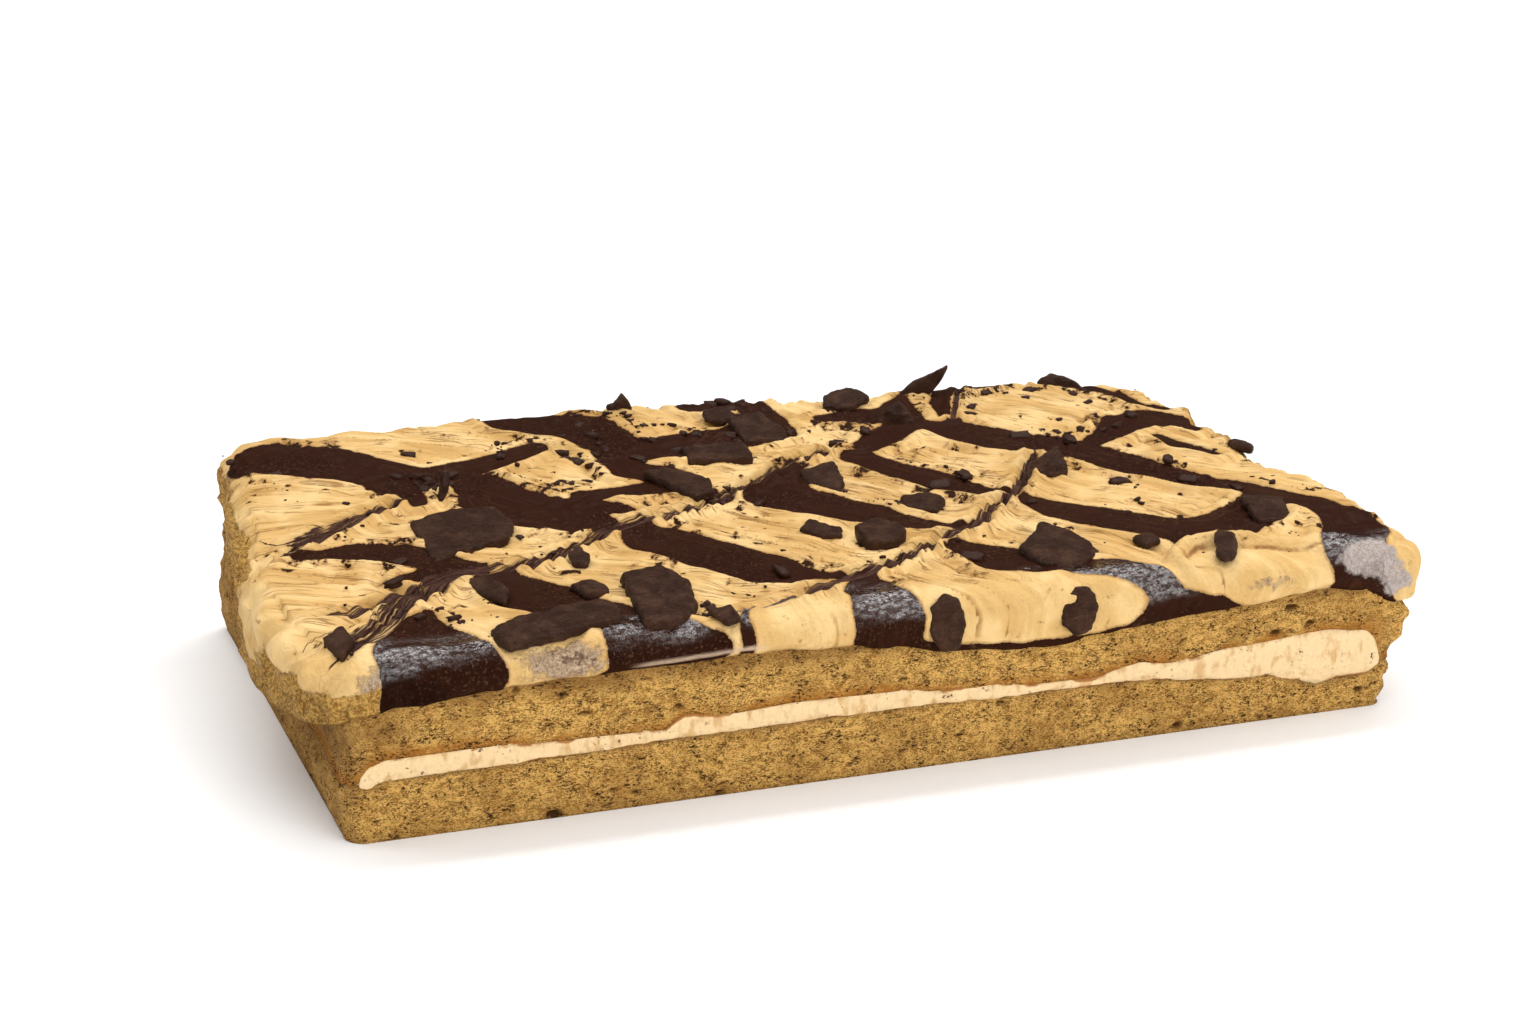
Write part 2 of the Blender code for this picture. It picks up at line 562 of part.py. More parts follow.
def tilt_matrix(tilt, heading):
    """A turn that lowers the side at this heading, both in degrees."""
    axis = Vector((-math.sin(math.radians(heading)), math.cos(math.radians(heading)), 0))
    return Matrix.Rotation(math.radians(tilt), 4, axis)


def shard_parts():
    """Each shard's mesh and place: lying plates, standing blades and those on the front shoulder."""
    for outline, thickness, tilt, heading, sink in LYING_SHARDS:
        outline = np.array(outline, float)
        centre = outline.mean(axis=0)
        around = np.vstack([outline, centre])
        level = float(np.mean(surface(around[:, 0], around[:, 1])))
        place = Matrix.Translation(Vector((*centre, level + thickness / 2 - sink)) * MM)
        yield prism(outline - centre, thickness, 0.5), place @ tilt_matrix(tilt, heading)
    for (x, y), length, height, slant, heading, lean, lean_heading in STANDING_SHARDS:
        place = Matrix.Translation(Vector((x, y, float(surface(x, y)) - STANDING_SINK)) * MM)
        turn = Matrix.Rotation(math.radians(heading), 4, "Z")
        plate = blade(length, height + STANDING_SINK, slant, BLADE_THICKNESS)
        yield plate, place @ tilt_matrix(lean, lean_heading) @ turn
    for x, z, width, tall, turn in FRONT_SHARDS:
        outline = np.array(FRONT_SHARD_OUTLINE) * (width, tall)
        place = Matrix.Translation(Vector((x, -HALF_WIDTH + FRONT_SHARD_DEPTH, z)) * MM)
        stand = Matrix.Rotation(math.radians(FRONT_SHARD_TILT), 4, "X")
        yield prism(outline, 2.0, 0.4), place @ stand @ Matrix.Rotation(math.radians(turn), 4, "Z")


def grown_copy(bm, gap):
    """A copy of a convex-like mesh, each point moved out along its normal by about the gap."""
    copy = bm.copy()
    bmesh.ops.recalc_face_normals(copy, faces=copy.faces)
    copy.normal_update()
    for vert in copy.verts:
        vert.co += vert.normal * vert.calc_shell_factor() * gap * MM
    return copy


def make_shards(material):
    """The shard objects, and hidden cutters a little larger for the pockets that they sit in."""
    cutters = bpy.data.collections.new("pockets")
    for number, (bm, place) in enumerate(shard_parts(), start=1):
        pocket = finish_object(f"pocket_{number:02d}", grown_copy(bm, TOUCH_GAP), material)
        pocket.data.transform(place)
        bpy.context.scene.collection.objects.unlink(pocket)
        cutters.objects.link(pocket)
        shard = finish_object(f"shard_{number:02d}", bm, material)
        shard.data.transform(place)
    return cutters


def flake_places():
    """Places for small flakes: seeded, on top of the cake and clear of the shards."""
    draw = random.Random(FLAKE_SEED)
    taken = []
    for bm, place in shard_parts():
        corners = np.array([place @ vert.co for vert in bm.verts])[:, :2] / MM
        low, high = corners.min(axis=0), corners.max(axis=0)
        taken.append(((low + high) / 2, (high - low).max() / 2))
        bm.free()
    places = []
    while len(places) < FLAKE_COUNT:
        spot = np.array([draw.uniform(-145, 142), draw.uniform(-76, 76)])
        clear = all(np.linalg.norm(spot - centre) > reach + 6 for centre, reach in taken)
        if clear and band_distance(spot[:1], spot[1:])[0] < draw.uniform(-2, 16):
            places.append((spot, draw.uniform(1.3, 2.6), draw.uniform(0, math.tau), draw.random()))
            taken.append((spot, 1.0))
    return places


def make_flakes(material):
    """Small chips of chocolate, half sunk in the topping."""
    flakes = bpy.data.collections.new("flakes")
    for (x, y), size, heading, flatness in flake_places():
        bm = bmesh.new()
        bmesh.ops.create_cube(bm, size=2 * size * MM)
        squeeze = Matrix.Diagonal((1.4, 0.8, 0.35 + 0.2 * flatness, 1))
        turn = Matrix.Rotation(heading, 4, "Z") @ Matrix.Rotation(0.5 * flatness, 4, "X")
        bmesh.ops.transform(bm, matrix=turn @ squeeze, verts=bm.verts)
        flake = finish_object(f"flake_{len(flakes.objects):02d}", bm, material)
        flake.data.transform(Matrix.Translation(Vector((x, y, float(surface(x, y)) + 0.2)) * MM))
        bpy.context.scene.collection.objects.unlink(flake)
        flakes.objects.link(flake)
    return flakes


def apply_boolean(target, collection, operation):
    """Cuts or joins a collection of meshes, applies the result and removes them."""
    bpy.context.scene.collection.children.link(collection)
    modifier = target.modifiers.new(operation.lower(), "BOOLEAN")
    modifier.operand_type = "COLLECTION"
    modifier.collection = collection
    modifier.operation = operation
    modifier.solver = "MANIFOLD"
    bpy.context.view_layer.update()
    graph = bpy.context.evaluated_depsgraph_get()
    mesh = bpy.data.meshes.new_from_object(target.evaluated_get(graph))
    target.modifiers.clear()
    target.data = mesh
    for helper in list(collection.objects):
        bpy.data.objects.remove(helper)
    bpy.data.collections.remove(collection)


def drop_scraps(target):
    """Removes loose scraps that a cut left, and keeps the largest connected piece."""
    bm = bmesh.new()
    bm.from_mesh(target.data)
    waiting = set(bm.verts)
    pieces = []
    while waiting:
        piece, edge_of_piece = set(), [waiting.pop()]
        while edge_of_piece:
            vert = edge_of_piece.pop()
            piece.add(vert)
            fresh = {edge.other_vert(vert) for edge in vert.link_edges} & waiting
            waiting -= fresh
            edge_of_piece.extend(fresh)
        pieces.append(piece)
    pieces.sort(key=len)
    scraps = [vert for piece in pieces[:-1] for vert in piece]
    bmesh.ops.delete(bm, geom=scraps, context="VERTS")
    bm.to_mesh(target.data)
    bm.free()


def build_cake():
    for old in list(bpy.data.objects):
        bpy.data.objects.remove(old)
    sponge = make_material("sponge", (0.42, 0.24, 0.07), 0.9)
    filling = make_material("filling_cream", (0.90, 0.70, 0.42), 0.6)
    cream = make_material("marbled_cream", (0.78, 0.48, 0.20), 0.55)
    chocolate = make_material("dark_chocolate", (0.035, 0.014, 0.008), 0.4)
    base_sponge(sponge)
    cream_filling(filling)
    top_sponge(sponge)
    topping = topping_body(cream)
    flakes = make_flakes(chocolate)
    apply_boolean(topping, flakes, "UNION")
    apply_boolean(topping, make_shards(chocolate), "DIFFERENCE")
    drop_scraps(topping)


build_cake()
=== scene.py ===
"""The looks of a mocha cream cake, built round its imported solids.

Lengths are in millimetres here, in the solids' own frame, and become metres when a mesh is made.
X runs along the long side. The front of the photo looks to -Y. The cake rests on z = 0.
"""

import contextlib
import itertools
import math
import random

import bmesh
import bpy
import numpy as np
from mathutils import Matrix, Vector


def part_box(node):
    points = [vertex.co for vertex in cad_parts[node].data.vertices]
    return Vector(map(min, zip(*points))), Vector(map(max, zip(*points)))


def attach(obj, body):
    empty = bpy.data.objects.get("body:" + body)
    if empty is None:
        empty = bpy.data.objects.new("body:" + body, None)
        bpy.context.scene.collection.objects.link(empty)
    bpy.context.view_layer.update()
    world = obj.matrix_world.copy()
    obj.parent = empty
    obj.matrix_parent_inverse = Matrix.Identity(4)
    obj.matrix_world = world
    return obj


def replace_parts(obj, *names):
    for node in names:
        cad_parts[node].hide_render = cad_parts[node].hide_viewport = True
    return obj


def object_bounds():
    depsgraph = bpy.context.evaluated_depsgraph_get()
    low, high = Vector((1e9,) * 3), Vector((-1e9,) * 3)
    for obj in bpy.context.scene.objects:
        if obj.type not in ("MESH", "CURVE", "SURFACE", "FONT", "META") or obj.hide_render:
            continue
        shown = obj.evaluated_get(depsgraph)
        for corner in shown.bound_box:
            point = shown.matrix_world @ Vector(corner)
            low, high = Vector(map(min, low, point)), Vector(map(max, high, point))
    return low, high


MM = 0.001

# The cake's driving sizes, the same as its solids have
HALF_LENGTH = 163.0
HALF_WIDTH = 88.5
TOPPING_FRONT = -87.2
SPONGE_LEFT, SPONGE_RIGHT = -148.0, 150.0
SPONGE_FRONT, SPONGE_BACK = -85.0, 85.0
SPONGE_TOP = 39.5
FRONT_TOP = 48.5
BACK_RISE = 7.5
SPONGE_CORNER = 5.0
TOPPING_CORNER = 7.0
SHOULDER = 7.0
NOISE_SEED = 5
FLAKE_COUNT = 30
FLAKE_SEED = 11
FLAKE_LIFT = 0.2
CRUMB_COUNT, PILE_CRUMBS = 1300, 90

# Grid sizes: cells along X and Y, and up a side
TOPPING_COLUMNS, TOPPING_ROWS = 372, 200
LAYER_COLUMNS, LAYER_ROWS = 420, 240
SPONGE_SIDE_ROWS, FILLING_SIDE_ROWS = 22, 10
CLOSING_INSET = (0.97, 0.95, 1.0)
UNDERSIDE_INSET, UNDERSIDE_GAP = 0.985, 0.6
SHARD_VOXEL, SHARD_WELD = 0.5, 0.01
# Passes of smoothing that wear the shards' edges round
SHARD_WEAR = 8

# Heights of the filling's lower and upper faces along the front, as (x, z)
FLOOR_AT_FRONT = (
    (-148, 14.5), (-138, 16.4), (-98, 16.7), (-58, 17.6), (2, 18.0), (52, 17.4), (72, 17.0),
    (92, 15.0), (102, 13.6), (112, 13.6), (122, 11.0), (129, 9.0), (137, 9.9), (152, 10.5),
)
ROOF_AT_FRONT = (
    (-148, 18.5), (-138, 22.0), (-118, 22.2), (-98, 21.4), (-66, 20.7), (-59, 24.1), (-48, 22.6),
    (-28, 23.5), (2, 23.0), (12, 21.7), (42, 19.9), (57, 19.5), (72, 22.0), (82, 21.1),
    (102, 23.2), (132, 24.9), (142, 23.6), (152, 20.0),
)
FLOOR_AT_BACK, ROOF_AT_BACK = 17.0, 22.6

# How far the short ends stand out from the sponge's straight sides, as (z, mm)
LEFT_BULGE = ((0, 1.0), (6, 2.5), (12, 3.2), (18, 2.0), (26, 1.2), (39, 0.0))
RIGHT_BULGE = ((0, 0.5), (5, 2.0), (11, 3.0), (15, 2.5), (20, 7.0), (27, 8.5), (32, 6.0), (39, 0.0))

# The topping's outermost edge along each side, as (place along the side, reach)
LEFT_EDGE = (
    (-88, 153), (-78, 157), (-60, 161), (-32, 163), (-8, 161), (16, 157), (43, 155), (56, 151),
    (80, 150), (88, 147),
)
RIGHT_EDGE = (
    (-88, 161), (-74, 162), (-50, 163), (-33, 161), (-28, 156), (-6, 154), (26, 158), (36, 155),
    (52, 158), (62, 155), (80, 157), (88, 152),
)
# Where the topping's lip ends on the sponge, as (place along the side, z)
FRONT_LIP = (
    (-150, 34), (-138, 35.5), (-98, 38), (-38, 38.6), (-18, 37.6), (2, 35.5), (12, 33),
    (22, 31.8), (47, 30.5), (62, 32.4), (102, 35), (132, 37), (142, 35.5), (156, 31),
)
LEFT_LIP = ((-88, 32), (-65, 28), (-45, 25), (-20, 26), (0, 28), (20, 33), (50, 34), (88, 36))
RIGHT_LIP = ((-88, 31), (-60, 31), (-30, 34), (0, 35), (88, 36))
BACK_LIP = ((-150, 36), (-90, 34), (-20, 37), (40, 34.5), (100, 37), (156, 35))

# Chocolate bands in the topping, drawn as strokes of (x, y, half width)
BANDS = (
    ((-146, 66, 3), (-136, 64, 13), (-122, 56, 14), (-108, 44, 11), (-97, 38, 8), (-84, 42, 7), (-60, 53, 4)),
    ((-108, 34, 8), (-105, 20, 4)),
    ((-84, 28, 8), (-82, 14, 11), (-73, 2, 12), (-64, -9, 9), (-60, -17, 3)),
    ((-60, 4, 6), (-50, -5, 3)),
    ((-66, 88, 5), (-60, 78, 8), (-50, 72, 10), (-41, 66, 11), (-37, 50, 9), (-30, 42, 9), (-12, 45, 10)),
    ((-12, 45, 10), (3, 50, 9), (14, 54, 9), (18, 66, 6), (16, 80, 6), (-3, 79, 4)),
    ((-40, 40, 5), (-38, 26, 6), (-30, 18, 7), (-24, 3, 3)),
    ((-58, 10, 4), (-44, 10, 4), (-34, 12, 5)),
    ((-52, -20, 6), (-48, -28, 10), (-38, -42, 10), (-27, -56, 10), (-20, -63, 6), (-11, -66, 2)),
    ((10, 18, 2), (3, 8, 6), (-3, -3, 11), (5, -13, 10), (14, -24, 9), (23, -34, 6), (38, -44, 1.5)),
    ((32, 24, 6), (39, 10, 6), (48, -3, 6.5), (56, -14, 4.5), (61, -18, 2)),
    ((36, 62, 4), (48, 62, 8), (58, 60, 9), (64, 70, 5), (68, 77, 2)),
    ((60, 52, 6), (46, 40, 6), (34, 30, 4)),
    ((64, 46, 5), (72, 38, 8), (80, 28, 10), (88, 20, 9), (98, 14, 9)),
    ((72, 52, 2), (77, 68, 3), (84, 80, 4), (94, 83, 5), (106, 86, 4)),
    ((100, 12, 9), (106, 0, 9), (113, -12, 8), (121, -23, 6), (131, -33, 4.5), (142, -43, 3)),
    ((106, 19, 3), (117, 27, 5), (128, 38, 8), (138, 40, 10), (145, 36, 7), (146, 28, 3)),
    ((131, 22, 2), (133, 11, 3.5), (139, 0, 2)),
    ((120, 81, 3), (130, 85, 6), (141, 70, 2.5), (142, 58, 2), (148, 50, 2)),
    ((65, -26, 4), (70, -35, 7), (82, -47, 8), (96, -59, 9), (110, -60, 9), (124, -52, 9), (130, -42, 5)),
    ((134, -42, 5), (145, -50, 6), (148, -60, 8), (145, -72, 9), (138, -82, 9)),
    ((31, -56, 5), (38, -66, 9), (46, -71, 7.5), (56, -76, 5.5), (66, -80, 4), (76, -85, 3.5), (84, -89, 2)),
    ((-4, -69, 3), (-5, -77, 7), (-4, -86, 9), (-1, -95, 11)),
    ((-150, -14, 1), (-140, -14, 4), (-130, -15, 7), (-118, -20, 7), (-110, -28, 6), (-104, -33, 5)),
    ((-119, -38, 5), (-108, -34, 6)),
    ((-99, -44, 6), (-94, -54, 10), (-86, -63, 9), (-76, -72, 6), (-71, -84, 10), (-62, -96, 17)),
    ((-121, -60, 1.5), (-125, -70, 7), (-126, -82, 14), (-123, -96, 19)),
    ((-45, -80, 1.2), (-43, -86, 1.5), (-42.5, -92, 1.5)),
)

# Lines along which the point of a knife was dragged, as paths of (x, y, half the smear's width)
DRAG_LINES = (
    ((-150, 1, 0.6), (-146, 0, 0.8), (-132, 6, 2.3), (-120, 13, 1.6), (-106, 23, 0.9)),
    ((-150, -13, 0.5), (-142, -4, 1.7), (-132, 4, 2.2)),
    ((-143, -73, 3.6), (-135, -66, 3.2), (-124, -51, 2.8), (-108, -38, 2.8), (-95, -38, 2.2), (-80, -31, 1.8),
     (-62, -20, 1.9), (-35, -7, 1.6), (-20, 0, 1.8), (-8, 10, 1.8), (12, 26, 1.5), (22, 31, 1.2),
     (36, 31, 0.6)),
    ((-150, -54, 0.3), (-140, -53, 1.8), (-132, -49, 1.4), (-120, -43, 1.0)),
    ((-46, -80, 0.3), (-34, -77, 0.4), (-22, -73, 0.6), (-10, -69, 1.7), (2, -64, 1.8), (12, -58, 1.6),
     (28, -48, 1.5), (42, -40, 1.5), (52, -28, 1.4), (64, -18, 1.4), (72, -6, 1.4), (84, 12, 0.9)),
    ((74, 50, 0.7), (82, 66, 0.7), (90, 82, 0.4)),
)

# Steps between a path's points once it is smoothed, and how far around a line its direction tells
PATH_STEPS = 3
DRAG_BLUR = 3.0

# The turned-back stroke at the front right, as a path of (x, y, half width)
SWIRL = ((134, -79, 1), (118, -76, 1), (104, -70, 1), (93, -70, 1), (85, -76, 1), (85, -82, 1), (93, -86, 1))

# Where the chocolate lies in rough clumps, as (x, y, reach)
CHOCOLATE_PILES = ((-30, 60, 15), (-8, 48, 14), (10, 56, 12), (-50, 42, 9), (-97, 34, 9), (-60, 20, 10),
                   (8, 78, 10))

# How high a wet dark line stands over the lip at the front, as (x, mm)
WET_LINE = (
    (-160, -4), (-88, -4), (-80, 1.5), (-50, 0.5), (-46, -4), (-16, -4), (-10, 2.4), (24, 2.2), (50, 2.0),
    (58, 0.8), (66, 1.2), (71, 4.0), (75, 10.0), (84, 8.5), (94, 5.5), (102, 1.5), (106, -4), (126, -4),
    (134, 3.0), (146, 5.0), (154, -4),
)

# Lumps of cream on the left end, as (x, y, z, radius, how far they stand out)
LEFT_LUMPS = (
    (-154, -24, 49, 9, 2.2), (-157, -42, 47, 9, 2.6), (-157, -60, 45, 9, 2.4), (-155, -78, 42, 9, 1.8),
    (-162, -30, 39, 5, 2.6), (-161, -19, 30, 5, 2.8), (-160, -46, 34, 6, 1.8), (-157, -68, 33, 6, 1.2),
)

# The brightest direction of the sky, and its strength far from there and added there
SKY_AXIS = (0.12, -0.38, 0.915)
LOW_SKY, HIGH_SKY = 0.05, 1.20
# A long softbox high behind the cake: across its direction, and its strength
STRIP_AXIS = (0.0, 0.91, -0.41)
STRIP_LIGHT = 7.0
# A softbox in front, turned to the cake, and the floor's reach, in metres and watts
FILL_PLACE = (0.6, -1.5, 0.7)
FILL_SIZE, FILL_POWER = 0.9, 9.0
FLOOR_REACH = 4.0

# The camera: where the photograph was taken from
EYE = (-292.7, -769.2, 316.1)
YAW, PITCH, ROLL = 20.46, 18.13, 0.61
PHOTO_WIDTH, FOCAL_PIXELS = 1536, 3000.0
SENSOR = 36.0


def lattice_value(cell, seed):
    """A fixed value between -1 and 1 for each lattice point. Each noise has a seed of its own."""
    mixed = cell @ np.array([374761393, 668265263, 1274126177]) + (NOISE_SEED + seed) * 144665
    mixed = (mixed ^ (mixed >> 13)) * 1274126177
    return ((mixed ^ (mixed >> 16)) & 0xFFFF) / 32767.5 - 1


def lattice_noise(points, size, seed):
    """Smooth noise between -1 and 1, in lumps about one size across."""
    scaled = np.asarray(points, float) / size
    cell = np.floor(scaled).astype(np.int64)
    part = scaled - cell
    part = part * part * (3 - 2 * part)
    total = np.zeros(len(scaled))
    for corner in itertools.product((0, 1), repeat=3):
        weight = np.prod(np.where(corner, part, 1 - part), axis=1)
        total += weight * lattice_value(cell + corner, seed)
    return total


def rough_noise(points, size, seed, octaves=3):
    """Noise with finer noise added to it, each octave half as large and half as strong."""
    total, weight = 0.0, 0.0
    for octave in range(octaves):
        total = total + lattice_noise(points, size / 2**octave, seed + 31 * octave) / 2**octave
        weight += 1 / 2**octave
    return total / weight


def pit_shape(points, size, seed):
    """Distance to the nearest of seeded spots about one size apart, in sizes."""
    scaled = np.asarray(points, float) / size
    cell = np.floor(scaled).astype(np.int64)
    nearest = np.full(len(scaled), 9.0)
    for offset in itertools.product((-1, 0, 1), repeat=3):
        spot = cell + offset
        place = spot + 0.5 + 0.45 * np.stack([lattice_value(spot, seed + k) for k in range(3)], axis=-1)
        nearest = np.minimum(nearest, np.linalg.norm(scaled - place, axis=1))
    return nearest


def flat_points(x, y):
    return np.stack([x, y, np.zeros_like(x)], axis=-1).reshape(-1, 3)


def flat_noise(x, y, size, seed, octaves=1):
    """Noise over the plan, in the shape of x."""
    return rough_noise(flat_points(x, y), size, seed, octaves).reshape(np.shape(x))


def from_table(table, places):
    """Values read off a short table of (place, value), eased between its rows."""
    keys, values = np.transpose(table)
    places = np.clip(places, keys[0], keys[-1])
    row = np.clip(np.searchsorted(keys, places, side="right") - 1, 0, len(keys) - 2)
    part = (places - keys[row]) / (keys[row + 1] - keys[row])
    part = part * part * (3 - 2 * part)
    return values[row] + part * (values[row + 1] - values[row])


def eased(values, low, high):
    """0 below low, 1 above high, and smooth between them."""
    part = np.clip((values - low) / (high - low), 0, 1)
    return part * part * (3 - 2 * part)


def blend_min(a, b, width=2.5):
    """The lower of two distances, rounded where they cross."""
    near = np.clip(0.5 + 0.5 * (b - a) / width, 0, 1)
    return b + (a - b) * near - width * near * (1 - near) * 0.5


def stroke_distance(x, y, stroke):
    """Distance to a tapered stroke's edge, negative inside it."""
    nearest = np.full(np.shape(x), 400.0)
    for (ax, ay, aw), (bx, by, bw) in zip(stroke, stroke[1:]):
        along = ((x - ax) * (bx - ax) + (y - ay) * (by - ay)) / ((bx - ax) ** 2 + (by - ay) ** 2)
        along = np.clip(along, 0, 1)
        gap = np.hypot(x - ax - along * (bx - ax), y - ay - along * (by - ay)) - aw - along * (bw - aw)
        nearest = blend_min(nearest, gap)
    return nearest


def band_distance(x, y):
    """Distance to the nearest chocolate band's edge, negative inside it."""
    nearest = np.full(np.shape(x), 400.0)
    for stroke in BANDS:
        nearest = blend_min(nearest, stroke_distance(x, y, stroke))
    return nearest


def smooth_path(path):
    """A path with more points, on a smooth curve through its own."""
    return smooth_rings([np.array(point, float) for point in path], PATH_STEPS)


def path_field(paths, x, y):
    """Signed distance to the nearest of some paths, the direction in which they run and their width."""
    nearest, signed, wide = (np.full(np.shape(x), start) for start in (400.0, 400.0, 1.0))
    pull_x, pull_y, weights = np.zeros(np.shape(x)), np.zeros(np.shape(x)), np.full(np.shape(x), 1e-9)
    for path in paths:
        for (ax, ay, a_width), (bx, by, b_width) in zip(path, path[1:]):
            dx, dy = bx - ax, by - ay
            length = math.hypot(dx, dy)
            along = np.clip(((x - ax) * dx + (y - ay) * dy) / length**2, 0, 1)
            gap = np.hypot(x - ax - along * dx, y - ay - along * dy)
            side = np.sign(dx * (y - ay) - dy * (x - ax))
            closer = gap < nearest
            nearest = np.where(closer, gap, nearest)
            signed = np.where(closer, gap * side, signed)
            wide = np.where(closer, a_width + along * (b_width - a_width), wide)
            weight = np.exp(-gap / DRAG_BLUR) * length
            pull_x, pull_y = pull_x + weight * dx / length, pull_y + weight * dy / length
            weights = weights + weight
    return signed, pull_x / weights, pull_y / weights, wide


def dragged(x, y, field, reach, width):
    """Where the cream at a point lay before the knife pulled it along."""
    line, pull_x, pull_y, _ = field
    pull = reach * np.exp(-((line / width) ** 2))
    return x - pull_x * pull, y - pull_y * pull


def flow_number(x, y):
    """Millimetres across the strokes of the palette knife: the same all along one stroke."""
    keys = np.arange(-170.0, 171.0, 5.0)
    slope = np.tan(np.radians(np.interp(keys, (-150, -60, 40, 150), (-14, -38, -50, -44))))
    fall = np.concatenate([[0], np.cumsum((slope[1:] + slope[:-1]) / 2 * 5.0)])
    sway = 7.0 * flat_noise(x, y, 55, 90, 2)
    return (y - np.interp(x, keys, fall) + sway) * 0.75


def top_height(x, y):
    """The topping's mean height: a little higher at the back left."""
    rise = np.interp(x, (-160, -20, 40, 100, 145), (1.0, 1.0, 0.6, 0.5, 0.0)) * BACK_RISE
    return FRONT_TOP + rise * np.clip((y + 75) / 155, 0, 1) + np.clip((y + 84) / 40, 0, 1)


def knife_strokes(flow, sway, breadth):
    """Height of overlapping strokes, 0 in a crease and up to 1."""
    count = flow / breadth + 0.5 * sway
    number = np.floor(count)
    part = count - number
    lift = 0.65 + 0.35 * lattice_value(np.stack([number.astype(np.int64)] * 3, axis=-1), 91)
    return 1 - (1 - np.sin(math.pi * part**1.5)) * lift


def marbling(x, y):
    """Band distance, signed drag distance, stroke place, folds, swirl distance and the smear's width."""
    field = path_field(DRAG_PATHS, x, y)
    line = field[0]
    near_x, near_y = dragged(x, y, field, 4.0, 3.0)
    edge = band_distance(near_x, near_y)
    flow = flow_number(*dragged(x, y, field, 7.0, 8.0))
    sway = flat_noise(x, y, 40, 40, 2)
    broad = np.minimum(knife_strokes(flow, sway, 8.0), 0.35 + 0.65 * knife_strokes(flow + 3, 2 * sway, 3.7))
    strength = eased(flat_noise(x, y, 26, 46), -0.7, 0.2)
    beside = knife_strokes(edge + 2.0, 0.5 * sway, 7.0)
    near_band = np.exp(-((edge - 5) / 5).clip(0)) * 0.6
    fold = broad * (1 - near_band) + beside * near_band
    fold = 1 - (1 - fold) * (0.25 + 0.75 * strength)
    swirl = path_field((SWIRL_PATH,), x, y)[0]
    return edge, line, flow, fold, swirl, field[3]


def relief(x, y):
    """Ridges, grooves and lumps on the topping."""
    edge, line, flow, fold, swirl, wide = marbling(x, y)
    lumps = 0.9 * flat_noise(x, y, 26, 0) + 0.6 * flat_noise(x, y, 10, 1)
    cream = np.clip((edge + 1) / 3, 0, 1)
    bead = 1.0 * np.exp(-(((edge - 2.0) / 1.7) ** 2))
    level = eased(y, -80, -69)
    folds = 3.3 * (fold - 0.7) * eased(edge, 0.0, 3.5) * (0.2 + 0.8 * level)
    folds = folds * (0.3 + 0.7 * eased(x, -156, -132))
    line, curl = np.abs(line), np.abs(swirl)
    beside, middle = (line - 1.9 - wide) / 1.4, line / (0.5 + wide)
    groove = (1.2 * np.exp(-(beside**2)) - 1.1 * np.exp(-(middle**2))) * (0.4 + 0.6 * wide).clip(0, 1)
    hairs = 0.22 * np.cos(math.tau * line / 3.2) * np.exp(-((line / (1.0 + wide)) ** 2)) * (wide > 0.45)
    turn = 2.4 * np.exp(-((curl / 1.9) ** 2)) - 1.2 * np.exp(-(((curl - 3.6) / 1.4) ** 2))
    streaks = 0.05 * np.cos(math.tau * flow / 2.6 + 2 * lumps) + 0.09 * np.cos(math.tau * flow / 4.3)
    streaks = streaks * cream * level * eased(x, -148, -120)
    rough = eased(flat_noise(x, y, 30, 42), -0.1, 0.5)
    grains = 0.55 * flat_noise(x, y, 1.8, 41) * (1 - cream) * level
    grains = (grains + 0.5 * flat_noise(x, y, 6, 39, 2) * (1 - cream) * level) * rough
    pile = np.zeros(np.shape(x))
    for px, py, reach in CHOCOLATE_PILES:
        pile = np.maximum(pile, np.exp(-(((x - px) ** 2 + (y - py) ** 2) / reach**2)))
    clumps = 1 - pit_shape(flat_points(x, y), 5.5, 43).reshape(np.shape(x)) * 1.7
    chunks = 2.6 * clumps.clip(0) * pile * (1 - cream)
    raised = bead + folds + groove + turn + streaks + hairs + chunks
    return lumps * (0.35 + 0.65 * cream) + raised + grains + 0.5 * (1 - cream)


def surface(x, y):
    """Height of the topping's upper face."""
    return top_height(x, y) + relief(x, y)


def spread(cells, first):
    """Fractions from 0 to 1 with a narrow first and last cell."""
    return np.concatenate([[0.0], np.linspace(first, 1 - first, cells - 1), [1.0]])


def corner_inset(reach, radius):
    """How far a rounded corner pulls a side in, at this distance from the next side."""
    inside = np.clip(radius - reach, 0, radius)
    return radius - np.sqrt(radius**2 - inside**2)


def rounded_sides(us, vs, left, right, front, back, radius):
    """The four sides of a rounded rectangle. Each ends in the middle of a corner's arc."""
    cut = radius * (1 - math.sqrt(0.5))
    ys = np.interp(vs, (0, 1), (np.mean(front) + cut, np.mean(back) - cut))
    xs = np.interp(us, (0, 1), (left[0] + cut, right[0] - cut))
    front_side = np.stack([xs, front + corner_inset(np.minimum(xs - left[0], right[0] - xs), radius)], -1)
    xs = np.interp(us, (0, 1), (left[-1] + cut, right[-1] - cut))
    back_side = np.stack([xs, back - corner_inset(np.minimum(xs - left[-1], right[-1] - xs), radius)], -1)
    ends = corner_inset(np.minimum(ys - np.mean(front), np.mean(back) - ys), radius)
    left_side = np.stack([left + ends, ys], -1)
    right_side = np.stack([right - ends, ys], -1)
    left_side[0], left_side[-1] = front_side[0], back_side[0]
    right_side[0], right_side[-1] = front_side[-1], back_side[-1]
    return front_side, back_side, left_side, right_side


